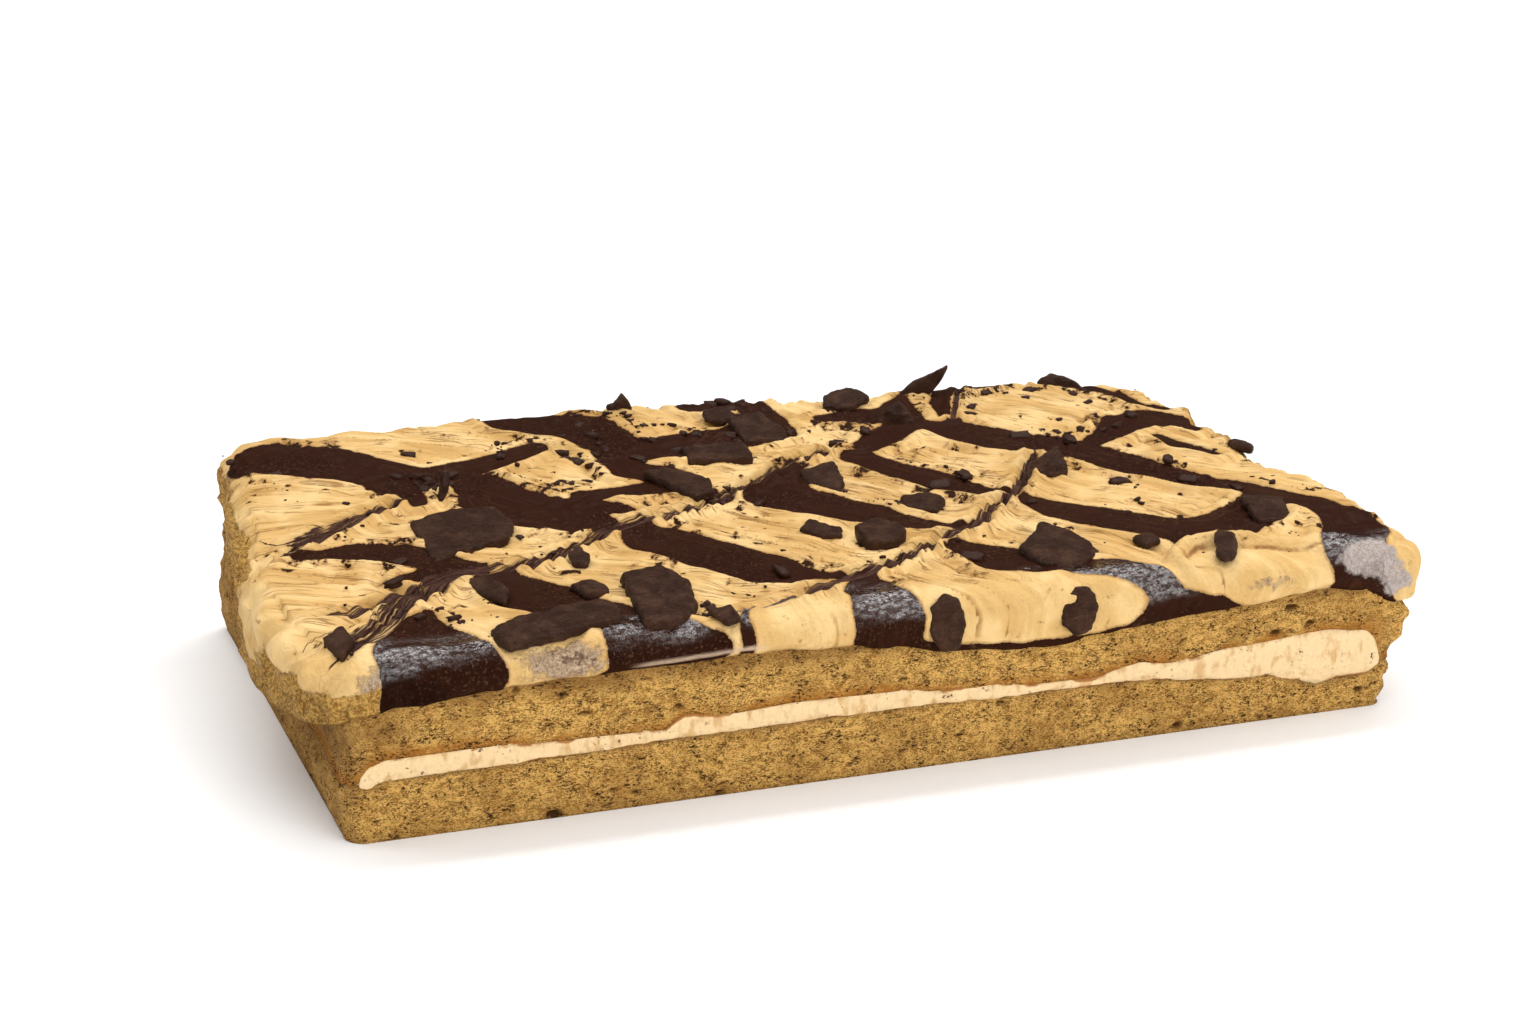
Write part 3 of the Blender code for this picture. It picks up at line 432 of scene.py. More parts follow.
def filled_patch(us, vs, sides):
    """A grid of points that fills the space between four sides."""
    front, back, left, right = sides
    u, v = us[:, None, None], vs[None, :, None]
    across = front[:, None] * (1 - v) + back[:, None] * v
    along = left[None] * (1 - u) + right[None] * u
    corners = (front[0] * (1 - u) + front[-1] * u) * (1 - v) + (back[0] * (1 - u) + back[-1] * u) * v
    return across + along - corners


def rim(grid):
    """A grid's outer points, in order round it from its front left corner."""
    return np.concatenate([grid[:-1, 0], grid[-1, :-1], grid[:0:-1, -1], grid[0, :0:-1]])


def rim_of_sides(sides):
    """The four sides joined into one loop, in the order that rim gives."""
    front, back, left, right = sides
    return np.concatenate([front[:-1], right[:-1], back[:0:-1], left[:0:-1]])


def filling_face(x, y, at_front, at_back, seed):
    """Height of the filling's floor or roof: measured at the front, gently uneven further back."""
    behind = at_back + 0.9 * flat_noise(x, y, 24, seed)
    part = eased(y, SPONGE_FRONT, SPONGE_FRONT + 45)
    return from_table(at_front, x) * (1 - part) + behind * part


def filling_floor(x, y):
    return filling_face(x, y, FLOOR_AT_FRONT, FLOOR_AT_BACK, 2)


def filling_roof(x, y):
    return filling_face(x, y, ROOF_AT_FRONT, ROOF_AT_BACK, 3)


def sponge_outline(us, vs, left_z, right_z, grow=0.0):
    """The sponge's outline as one loop, grown outwards, at these heights along its two ends."""
    fade = np.interp(vs, (0, 0.15, 0.5, 1), (1.0, 0.9, 0.15, 0.25))
    left = SPONGE_LEFT - from_table(LEFT_BULGE, left_z) * np.ones(len(vs)) - grow
    right = SPONGE_RIGHT + from_table(RIGHT_BULGE, right_z) * fade + grow
    front = np.full(len(us), SPONGE_FRONT - grow)
    back = np.full(len(us), SPONGE_BACK + grow)
    return rim_of_sides(rounded_sides(us, vs, left, right, front, back, SPONGE_CORNER + grow))


def topping_sides(us, vs, inset):
    """The topping's outline, pulled in by inset."""
    ys = np.interp(vs, (0, 1), (-HALF_WIDTH, HALF_WIDTH))
    left, right = inset - from_table(LEFT_EDGE, ys), from_table(RIGHT_EDGE, ys) - inset
    front = np.full(len(us), TOPPING_FRONT + inset)
    back = np.full(len(us), HALF_WIDTH - inset)
    return rounded_sides(us, vs, left, right, front, back, TOPPING_CORNER)


def side_number(columns, rows):
    """Which side each point of a loop is on: 0 front, 1 right, 2 back, 3 left."""
    return np.repeat([0, 1, 2, 3], [columns, rows, columns, rows])


def lip_heights(loop, columns, rows):
    """Where the lip ends at each point of the topping's outline."""
    x, y = loop[:, 0], loop[:, 1]
    tables = [from_table(FRONT_LIP, x), from_table(RIGHT_LIP, y),
              from_table(BACK_LIP, x), from_table(LEFT_LIP, y)]
    return np.choose(side_number(columns, rows), tables)


def smooth_rings(rings, steps):
    """More rings between the given ones, on a smooth curve through them."""
    padded = [2 * rings[0] - rings[1], *rings, 2 * rings[-1] - rings[-2]]
    made = []
    for a, b, c, d in zip(padded, padded[1:], padded[2:], padded[3:]):
        for t in np.arange(steps) / steps:
            cubic = 2 * b + (c - a) * t + (2 * a - 5 * b + 4 * c - d) * t**2 + (3 * b - a - 3 * c + d) * t**3
            made.append(cubic / 2)
    return made + [rings[-1]]


DRAG_PATHS = [smooth_path(path) for path in DRAG_LINES]
SWIRL_PATH = smooth_path(SWIRL)


def topping_rings(us, vs, grid):
    """Rings down the topping's shoulder, round its lip and back up to its hidden underside."""
    columns, rows = len(us) - 1, len(vs) - 1
    top_rim = rim(grid)
    outline = rim_of_sides(topping_sides(us, vs, 0.0))
    lip = lip_heights(outline, columns, rows)
    lip = lip + 0.5 * lattice_noise(np.column_stack([outline, lip]), 4, 43)
    top = top_rim[:, 2]
    bulge_z = np.maximum(top - 8.0, lip + 2.5)
    rings = []
    for inset, drop in ((3.0, 0.22), (0.7, 0.6), (0.0, 1.0)):
        flat = rim_of_sides(topping_sides(us, vs, inset))
        rings.append(np.column_stack([flat, top + (bulge_z - top) * drop]))
    rings.append(np.column_stack([rim_of_sides(topping_sides(us, vs, 1.1)), lip + 0.8]))
    for ring in rings:
        ring[:, :2] *= 1 + 0.004 * lattice_noise(ring, 14, 8)[:, None]
    widest = np.concatenate(rings)[:, :2]
    low, high = widest.min(axis=0), widest.max(axis=0)
    wanted_low, wanted_high = np.array((-HALF_LENGTH, TOPPING_FRONT)), np.array((HALF_LENGTH, HALF_WIDTH))
    for ring in rings:
        ring[:, :2] = wanted_low + (ring[:, :2] - low) * (wanted_high - wanted_low) / (high - low)
    ys = np.interp(vs, (0, 1), (SPONGE_FRONT, SPONGE_BACK))
    inner = sponge_outline(us, vs, from_table(LEFT_LIP, ys), from_table(RIGHT_LIP, ys), grow=0.1)
    under = np.column_stack([inner, lip])
    hidden = np.column_stack([inner * UNDERSIDE_INSET, np.full(len(inner), SPONGE_TOP + UNDERSIDE_GAP)])
    return smooth_rings([top_rim, *rings], 5)[1:] + [under, hidden]


def grid_faces(columns, rows, first=0):
    """Four-sided faces over a grid of vertices, facing up."""
    index = first + np.arange(columns * rows).reshape(columns, rows)
    corners = (index[:-1, :-1], index[1:, :-1], index[1:, 1:], index[:-1, 1:])
    return np.stack(corners, axis=-1).reshape(-1, 4)


def ring_faces(upper, lower):
    """Four-sided faces between two rings of vertex numbers, facing out."""
    corners = (lower, np.roll(lower, -1), np.roll(upper, -1), upper)
    return np.stack(corners, axis=-1)


def placed(name, data):
    """A new object in the scene, with this mesh, light or camera."""
    made = bpy.data.objects.new(name, data)
    bpy.context.scene.collection.objects.link(made)
    return made


@contextlib.contextmanager
def edited(mesh):
    """Opens a mesh for bmesh operators, and writes it back after them."""
    bm = bmesh.new()
    bm.from_mesh(mesh)
    yield bm
    bm.to_mesh(mesh)
    bm.free()


def make_piece(name, points, faces, material, values=None):
    """A smooth mesh piece that rides with the cake, with named numbers on its vertices."""
    mesh = bpy.data.meshes.new(name)
    mesh.from_pydata((np.asarray(points) * MM).tolist(), [], faces)
    for key, numbers in (values or {}).items():
        layer = mesh.attributes.new(key, "FLOAT", "POINT")
        layer.data.foreach_set("value", np.asarray(numbers, np.float32))
    mesh.materials.append(material)
    mesh.shade_smooth()
    piece = placed(name, mesh)
    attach(piece, "root")
    return piece


def vertex_normals(mesh):
    normals = np.zeros(len(mesh.vertices) * 3, np.float32)
    mesh.vertex_normals.foreach_get("vector", normals)
    return normals.reshape(-1, 3)


def vertex_places(mesh):
    places = np.zeros(len(mesh.vertices) * 3, np.float32)
    mesh.vertices.foreach_get("co", places)
    return places.reshape(-1, 3) / MM


def set_places(mesh, places):
    mesh.vertices.foreach_set("co", (np.asarray(places, np.float32) * MM).ravel())
    mesh.update()


def push_out(piece, amount):
    """Moves each vertex along its normal by amount, and keeps it inside the solids' box."""
    mesh = piece.data
    places = vertex_places(mesh) + vertex_normals(mesh) * np.asarray(amount)[:, None]
    set_places(mesh, np.clip(places, BOX_LOW, BOX_HIGH))


class Number:
    """A node's number output. A sum or product of two is one more node."""

    def __init__(self, nodes, socket):
        self.nodes, self.socket = nodes, socket

    def __add__(self, other):
        return self.nodes.math("ADD", self, other)

    def __sub__(self, other):
        return self.nodes.math("SUBTRACT", self, other)

    def __rsub__(self, other):
        return self.nodes.math("SUBTRACT", other, self)

    def __mul__(self, other):
        return self.nodes.math("MULTIPLY", self, other)

    def __abs__(self):
        return self.nodes.math("ABSOLUTE", self)


class Nodes:
    """A node tree, with short calls for the nodes that the materials and the sky share."""

    def __init__(self, tree):
        self.tree = tree

    def put(self, socket, value):
        """Links a socket, or sets a plain value."""
        if isinstance(value, Number):
            value = value.socket
        if isinstance(value, bpy.types.NodeSocket):
            self.tree.links.new(value, socket)
        elif socket.type == "RGBA":
            socket.default_value = (*value, 1.0)
        else:
            socket.default_value = value

    def node(self, kind, inputs, output=0, **settings):
        """One output of a new node with these inputs and settings."""
        node = self.tree.nodes.new("ShaderNode" + kind)
        for key, value in settings.items():
            setattr(node, key, value)
        for key, value in inputs.items():
            self.put(node.inputs[key], value)
        return node.outputs[output]

    def vector(self, operation, a, b, output=0):
        return self.node("VectorMath", {0: a, 1: b}, output, operation=operation)

    def math(self, operation, a, b=0.0, clamp=False):
        return Number(self, self.node("Math", {0: a, 1: b}, operation=operation, use_clamp=clamp))

    def most(self, a, b):
        return self.math("MAXIMUM", a, b)

    def ramp(self, value, low, high, to_low=0.0, to_high=1.0):
        """Eased from to_low at low to to_high at high."""
        inputs = dict(enumerate((value, low, high, to_low, to_high)))
        return Number(self, self.node("MapRange", inputs, interpolation_type="SMOOTHSTEP"))


class Paint(Nodes):
    """A material: its node tree, its shader and places in it in millimetres."""

    def __init__(self, name):
        self.material = bpy.data.materials.new(name)
        self.material.use_nodes = True
        super().__init__(self.material.node_tree)
        self.shader = self.tree.nodes["Principled BSDF"]
        self.place = self.vector("MULTIPLY", self.node("TexCoord", {}, "Object"), (1 / MM,) * 3)

    def numbers(self, *names):
        """Numbers kept on the vertices."""
        return [Number(self, self.node("Attribute", {}, "Fac", attribute_name=name)) for name in names]

    def stretched(self, *factors):
        """Places with X, Y and Z multiplied by three factors."""
        return self.vector("MULTIPLY", self.place, factors)

    def noise(self, size, detail=3.0, roughness=0.55, place=None, distortion=0.0):
        """Noise from 0 to 1, in lumps about one size across in millimetres."""
        inputs = {"Vector": place or self.place, "Scale": 1 / size, "Detail": detail,
                  "Roughness": roughness, "Distortion": distortion}
        return Number(self, self.node("TexNoise", inputs, "Fac"))

    def cells(self, size, place):
        """Distance to seeded spots about one size apart, in sizes."""
        return Number(self, self.node("TexVoronoi", {"Vector": place, "Scale": 1 / size}, "Distance"))

    def split(self, vector):
        parts = self.node("SeparateXYZ", {0: vector}).node.outputs
        return [Number(self, part) for part in parts]

    def join(self, x, y, z):
        return self.node("CombineXYZ", {0: x, 1: y, 2: z})

    def layered(self, tone, *layers):
        """A colour with others laid over it in turn, each a (share, colour) pair."""
        for share, colour in layers:
            inputs = {"Factor": share, "A": tone, "B": colour}
            tone = self.node("Mix", inputs, "Result", data_type="RGBA")
        return tone

    def bump(self, height, depth):
        """Bump of this depth in millimetres for a height from 0 to 1."""
        return self.node("Bump", {"Distance": depth * MM, "Height": height}, "Normal")

    def finish(self, **values):
        """Sets the shader's sockets by name, with _ for a space, and returns the material."""
        for key, value in values.items():
            self.put(self.shader.inputs[key.replace("_", " ")], value)
        return self.material


# Colours, linear
CREAM = (0.67, 0.425, 0.162)
# Paler cream: random patches, and painted highlight on the crests of the strokes
CREAM_PALE = (0.83, 0.585, 0.275)
# Darker cream: painted shade in the hollows and fine grooves of the strokes and in creases, and darker near
# the drag lines
CREAM_DEEP = (0.46, 0.245, 0.066)
# Ochre: brown beside the chocolate, round specks and in a ring round the swirl, and painted shade in creases
# and along thin sunken lines
OCHRE = (0.20, 0.072, 0.0135)
SPECK = (0.028, 0.0088, 0.0025)
CHOCOLATE = (0.0240, 0.0050, 0.0006)
# A lighter brown painted on the chocolate as glints and sheen streaks
CHOCOLATE_SHEEN = (0.082, 0.0270, 0.0095)
DRAGGED = (0.085, 0.041, 0.029)
SHARD = (0.040, 0.0135, 0.0048)
SHARD_WORN = (0.080, 0.033, 0.0155)
# Pale streaks painted on the shards' grain as glints
SHARD_GRAIN_GLINT = (0.14, 0.070, 0.040)
SPONGE = (0.35, 0.156, 0.031)
SPONGE_LIGHT = (0.93, 0.555, 0.152)
# Painted shade in the sponge's pores, holes and pits
PORE_SHADE = (0.060, 0.019, 0.003)
SPONGE_SHADE = (0.22, 0.095, 0.022)
BASE_SOAKED = (0.30, 0.15, 0.05)
TOP_SOAKED = (0.46, 0.170, 0.0220)
CRUST = (0.30, 0.145, 0.042)
CRUST_STAIN = (0.13, 0.055, 0.022)
FILLING = (0.84, 0.605, 0.325)
# Painted shade in the filling's hollows
FILLING_SHADE = (0.60, 0.35, 0.130)
FILLING_STAIN = (0.38, 0.150, 0.030)
FILLING_FLECK = (0.10, 0.034, 0.012)
BLOOM = (0.47, 0.405, 0.37)
BLOOM_DEEP = (0.31, 0.250, 0.222)
POWDER = (0.86, 0.66, 0.45)
POWDER_DEEP = (0.48, 0.29, 0.165)
POWDER_STAIN = (0.15, 0.070, 0.036)
# A pale painted highlight line along the front lip
LIP_HIGHLIGHT = (0.62, 0.44, 0.31)
FLOOR = (0.95, 0.95, 0.95)
FLOOR_LIGHT = (0.97, 0.97, 0.97)


def topping_material():
    """Mocha cream marbled with chocolate: streaks beside the bands, dark smears where it was dragged."""
    paint = Paint("marbled_cream")
    edge, line, flow, fold, swirl, wide = paint.numbers("edge", "line", "flow", "fold", "swirl", "wide")
    bloom, powder, crust, gloss, smooth, lip_highlight = paint.numbers(
        "bloom", "powder", "crust", "gloss", "smooth", "rim")
    away = abs(line)
    top_only = (1.0 - smooth * 0.85) * paint.ramp(abs(swirl), 5.0, 9.0, 0.25, 1.0)
    shore = edge - 1.55 + (paint.noise(6.0, 5.0, 0.62) * 2.2 + paint.noise(0.9, 3.0, 0.6) * 0.9)
    slow_x, slow_y, slow_z = paint.split(paint.stretched(0.045, 0.045, 0.045))
    strokes = paint.join(flow, slow_x, slow_y + slow_z)
    fine = paint.noise(0.8, 3.0, 0.6, place=strokes)
    broad = paint.noise(3.0, 3.0, 0.55, place=strokes)

    # Smears: dark at the middle, with hairs of cream towards their edges
    hair = paint.noise(0.55, 3.0, 0.6, place=paint.join(line, slow_x * 0.8, slow_y * 0.8))
    waver = paint.noise(9.0, 2.0) * 1.4 + hair * 1.3
    inside = paint.ramp(away - wide * waver, 0.12, -0.12)
    pale_hair = paint.ramp(hair, 0.54, 0.60) * paint.ramp(away, 0.5, 1.8)
    stray = paint.ramp(hair, 0.66, 0.70) * paint.ramp(away, 4.5, 1.5)
    dark_line = paint.most(inside * (1.0 - pale_hair * 0.9), stray * 0.8)
    dark = paint.most(paint.ramp(shore, 0.10, -0.10), dark_line)

    # Cream: painted shade in the hollows of its strokes and painted highlight on their crests, painted shade
    # in creases and along thin sunken lines, and brown beside the chocolate
    patchy = paint.ramp(paint.noise(7.0, 3.0), 0.38, 0.60)
    contour = abs(paint.noise(2.6, 3.0, 0.5, place=strokes) - 0.5)
    # Painted shade along thin sunken lines and in the creases between strokes
    crease_line_shade = paint.ramp(contour, 0.022, 0.004) * patchy * paint.ramp(edge, 0.6, 2.0) * top_only
    crease = paint.ramp(fold, 0.45, 0.05) * paint.ramp(edge, 0.8, 3.0)
    curl = paint.ramp(abs(swirl - 2.6), 0.7, 0.1) * paint.ramp(paint.noise(5.0, 3.0), 0.36, 0.60, 0.15, 0.75)
    tone = paint.layered(
        CREAM,
        (paint.ramp(broad, 0.62, 0.34) * paint.ramp(top_only, 0.0, 1.0, 0.15, 0.6), CREAM_DEEP),
        (paint.ramp(paint.noise(17.0, 3.0), 0.42, 0.66) * 0.75, CREAM_PALE),
        (paint.ramp(broad, 0.56, 0.74) * 0.6, CREAM_PALE),
        (paint.ramp(fine, 0.44, 0.28) * top_only * 0.3, CREAM_DEEP),
        (crease * 0.8, CREAM_DEEP),
        (crease * patchy * 0.75, OCHRE),
        (crease_line_shade * 0.65, OCHRE),
        (curl, OCHRE),
        (paint.ramp(shore, 1.0, 0.0) * 0.6, OCHRE),
        (paint.ramp(away, 4.5, 1.0) * 0.35, CREAM_DEEP),
    )

    # Specks of chocolate, crowded near the bands, and short dashes along the strokes
    crowd = paint.ramp(paint.noise(14.0, 3.0), 0.46, 0.64) * paint.ramp(edge, 15.0, 1.0)
    crowd = paint.most(crowd, paint.ramp(paint.noise(9.0, 2.0), 0.61, 0.69)) * top_only
    blotch = paint.noise(3.4, 6.0, 0.66) + crowd * 0.22
    dash = paint.ramp(paint.noise(0.8, 2.0, 0.5, place=strokes), 0.68, 0.72)
    dash = dash * paint.ramp(paint.noise(6.0, 2.0), 0.54, 0.62) * top_only
    speck = paint.most(paint.ramp(blotch, 0.725, 0.750), dash * 0.7)

    # Powder and sponge crumbs on the sides
    grit, stain, drift = paint.noise(1.0, 6.0, 0.85), paint.noise(3.0, 4.0, 0.7), paint.noise(3.2, 4.0, 0.7)
    dusty = paint.layered(POWDER_DEEP, (paint.ramp(grit, 0.42, 0.60), POWDER),
                          (paint.ramp(stain, 0.54, 0.64) * 0.8, POWDER_STAIN))
    crumbly = paint.layered(SPONGE, (paint.ramp(grit, 0.42, 0.58), SPONGE_LIGHT),
                            (paint.ramp(stain, 0.52, 0.68) * 0.6, CRUST_STAIN))
    powder_share = paint.ramp(drift * 0.9 + powder * 0.7, 0.70, 0.92)
    crust_share = paint.ramp(drift * 1.2 + crust * 0.95, 0.82, 1.04)

    # Chocolate: painted glints in rough patches, painted sheen streaked along its bands, purple where it was
    # dragged
    rough_patch, glint = paint.ramp(paint.noise(26.0, 2.0), 0.42, 0.56), paint.noise(0.8, 3.0, 0.65)
    painted_glints = rough_patch * paint.ramp(glint, 0.54, 0.68)
    along_band = paint.noise(1.4, 3.0, 0.6, place=paint.join(edge, slow_x, slow_y))
    brown = paint.layered(CHOCOLATE, (painted_glints, CHOCOLATE_SHEEN),
                          (paint.ramp(along_band, 0.52, 0.78) * 0.4, CHOCOLATE_SHEEN),
                          (dark_line * paint.ramp(hair, 0.38, 0.54) * 0.9, DRAGGED))
    frosted = paint.layered(BLOOM_DEEP, (paint.ramp(grit, 0.40, 0.60), BLOOM))
    bloom_share = paint.ramp(paint.noise(3.0, 4.0, 0.65) * 0.8 + bloom * 0.8, 0.72, 0.95)
    colour = paint.layered(
        tone,
        (paint.ramp(blotch, 0.61, 0.73) * 0.6, OCHRE),
        (speck, SPECK),
        (powder_share, dusty),
        (crust_share, crumbly),
        (dark, brown),
        (bloom_share, frosted),
        # Painted highlight line along the front lip
        (lip_highlight * 0.8, LIP_HIGHLIGHT),
    )

    # Finish: broken highlights where the chocolate is wet, and bump
    light, duller = 1.0 - dark, dark * (1.0 - gloss)
    roughness = dark * (paint.ramp(gloss, 0.0, 1.0, 0.50, 0.17) + glint * 0.14) + light * 0.58
    glossy = paint.noise(1.1, 5.0, 0.72, place=paint.stretched(0.6, 1.0, 1.0))
    glossy = paint.ramp(glossy, 0.42, 0.60, 0.12, 1.0)
    coat = paint.math("MULTIPLY", dark, gloss * glossy * 1.15 + painted_glints * 0.15, clamp=True)
    grain = (
        glint * (rough_patch * (duller * 1.8))
        + along_band * (duller * 0.6)
        + paint.noise(1.3, 4.0, 0.6) * (gloss * 0.6)
        + hair * (inside * 0.8)
        + fine * (light * top_only * 0.4)
        + broad * (light * paint.ramp(top_only, 0.0, 1.0, 0.3, 1.7))
        + paint.noise(3.2, 4.0, 0.6) * paint.ramp(top_only, 1.0, 0.0, 0.0, 2.2)
        + (crease_line_shade + crease) * light * -0.35
        + speck * (light * 0.5)
        + grit * (paint.most(crust_share, powder_share) * 2.2)
        + paint.noise(0.6, 3.0, 0.6) * paint.ramp(gloss, 0.0, 1.0, 0.12, 0.03)
    )
    normal = paint.bump(grain, 0.6)
    return paint.finish(Base_Color=colour, Roughness=roughness, Specular_IOR_Level=0.06, Normal=normal,
                        Coat_Weight=coat * (1.0 - bloom_share), Coat_Roughness=0.20, Coat_IOR=2.4,
                        Coat_Normal=normal)


def sponge_material(name, soak_colour):
    """Baked sponge, with painted shade in its fine pores and holes, pale crumbs, painted shade where its
    shade number says, and darker places where it is soaked.
    """
    paint = Paint(name)
    soak, crust, pit, shade = paint.numbers("soak", "crust", "pit", "shade")
    flat = paint.stretched(0.75, 0.75, 1.4)
    grit = paint.noise(0.42, 3.0, 0.8, place=flat) * 0.72 + paint.noise(1.8, 3.0, place=flat) * 0.28
    fine = paint.noise(0.62, 4.0, 0.7, place=flat)
    # Pores and holes, darkened below with painted shade
    pores = paint.ramp(fine + paint.ramp(paint.noise(5.0, 3.0), 0.35, 0.65) * -0.10, 0.37, 0.335)
    warp = paint.join(paint.noise(1.3, 2.0), paint.noise(1.7, 2.0), fine)
    warp = paint.vector("MULTIPLY", warp, (2.4, 2.4, 2.4))
    holes = paint.ramp(paint.cells(2.1, paint.vector("ADD", flat, warp)), 0.26, 0.16)
    holes = holes * paint.ramp(paint.noise(5.0, 2.0), 0.46, 0.56)
    tone = paint.layered(
        SPONGE,
        (paint.ramp(grit, 0.43, 0.55), SPONGE_LIGHT),
        (paint.ramp(paint.noise(13.0, 4.0), 0.42, 0.66) * 0.4, SPONGE),
        (shade * 0.6, SPONGE_SHADE),
        (crust * 0.6, CRUST),
        (soak * paint.ramp(grit, 0.66, 0.44, 0.45, 1.0), soak_colour),
        (paint.most(paint.most(pores * 0.9, holes * 0.95), pit * 0.9), PORE_SHADE),
    )
    height = grit * 1.5 + fine * 0.9 + holes * -0.9 + pores * -0.4
    return paint.finish(Base_Color=tone, Roughness=0.9, Specular_IOR_Level=0.15,
                        Normal=paint.bump(height, 0.6))


def filling_material():
    """Pale cream with painted shade in its hollows, a few crumbs pressed in and a little brown where it meets
    the sponge.
    """
    paint = Paint("filling_cream")
    tint = paint.numbers("tint")[0]
    crumb = paint.noise(1.4, 4.0, 0.65)
    upright = paint.noise(3.0, 3.0, place=paint.stretched(1.0, 1.0, 0.25))
    # Painted shade where the filling's relief is low
    hollow_shade = paint.ramp(paint.noise(5.0, 4.0, 0.6) * 0.5 + upright * 0.5, 0.50, 0.38)
    stain = paint.ramp(tint * 0.8 + paint.noise(2.4, 4.0, 0.7) * 0.8, 0.57, 0.90)
    fleck = paint.ramp(crumb, 0.58, 0.66) * paint.ramp(paint.noise(7.0, 2.0), 0.50, 0.60)
    tone = paint.layered(FILLING, (hollow_shade * 0.8, FILLING_SHADE), (stain, FILLING_STAIN),
                         (fleck, FILLING_FLECK))
    height = paint.noise(2.2, 4.0) * 1.3 + upright * 1.2 + crumb * 0.4
    return paint.finish(Base_Color=tone, Roughness=0.5, Specular_IOR_Level=0.3,
                        Normal=paint.bump(height, 0.8))


def shard_material():
    """Snapped chocolate: brushed grain on its faces with painted glints on its crests, paler worn grain and
    painted shade in fine pits.
    """
    paint = Paint("dark_chocolate")
    brushed = paint.noise(0.7, 4.0, 0.75, place=paint.stretched(0.45, 1.2, 1.0), distortion=0.8)
    worn = paint.ramp(paint.noise(6.0, 4.0, 0.6), 0.40, 0.68)
    # Painted glints on the brushed grain's crests and painted shade in its low pits
    tone = paint.layered(SHARD, (worn, SHARD_WORN), (paint.ramp(brushed, 0.56, 0.74) * 0.8, SHARD_GRAIN_GLINT),
                         (paint.ramp(brushed, 0.46, 0.32), CHOCOLATE))
    return paint.finish(Base_Color=tone, Roughness=paint.ramp(worn, 0.0, 1.0, 0.42, 0.58),
                        Specular_IOR_Level=0.18, Normal=paint.bump(brushed, 1.1))


def crumb_material():
    paint = Paint("chocolate_crumbs")
    tone = paint.layered(CHOCOLATE, (paint.ramp(paint.noise(1.2, 3.0), 0.4, 0.7), SHARD))
    return paint.finish(Base_Color=tone, Roughness=0.6, Specular_IOR_Level=0.2,
                        Normal=paint.bump(paint.noise(0.5, 2.0), 0.2))


def marbled_topping(material):
    """The topping: its grid of ridges and bands, and the side down to its lip."""
    us, vs = spread(TOPPING_COLUMNS, 0.0025), spread(TOPPING_ROWS, 0.004)
    plan = filled_patch(us, vs, topping_sides(us, vs, SHOULDER))
    grid = np.dstack([plan, surface(plan[..., 0], plan[..., 1])])
    rings = topping_rings(us, vs, grid)
    columns, rows = grid.shape[:2]
    points = np.concatenate([grid.reshape(-1, 3), *rings])
    index = np.arange(columns * rows).reshape(columns, rows)
    loops = [rim(index)]
    first = columns * rows
    for ring in rings:
        loops.append(first + np.arange(len(ring)))
        first += len(ring)
    faces = grid_faces(columns, rows).tolist()
    for upper, lower in zip(loops, loops[1:]):
        faces += ring_faces(upper, lower).tolist()
    faces.append(loops[-1][::-1].tolist())
    x, y, z = points.T
    edge, line, flow, fold, swirl, wide = marbling(x, y)
    on_side = np.zeros(len(points))
    depths = np.linspace(0, 1, len(rings))
    for loop, depth in zip(loops[1:], depths):
        on_side[loop] = depth
    values = {
        "edge": side_edges(x, y, z, edge, on_side),
        "line": line,
        "wide": wide * (on_side < 0.25),
        "flow": flow + np.where(np.abs(y) > 80, 0.0, 0.35 * (z - 48)) * (on_side > 0),
        "fold": fold,
        "swirl": swirl,
        **side_marks(points, on_side),
    }
    piece = make_piece("topping_marbled", points, faces, material, values)
    push_out(piece, side_relief(points, on_side, values["crust"], values["edge"]))
    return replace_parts(piece, "topping")


def side_edges(x, y, z, edge, on_side):
    """Band distance with the wet dark line over the front lip joined to it."""
    lip = from_table(FRONT_LIP, x)
    wobble = rough_noise(np.stack([x, y, z], axis=-1), 9, 47)
    wet = z - lip - from_table(WET_LINE, x) - 1.2 * wobble
    at_front = (y < TOPPING_FRONT + 5) & (on_side > 0)
    return np.where(at_front, blend_min(edge, wet, 1.5), edge)


def blob(points, centre, radii):
    """1 at a centre, falling off smoothly over the radii."""
    return np.exp(-((((points - np.array(centre)) / np.array(radii)) ** 2).sum(axis=1)))


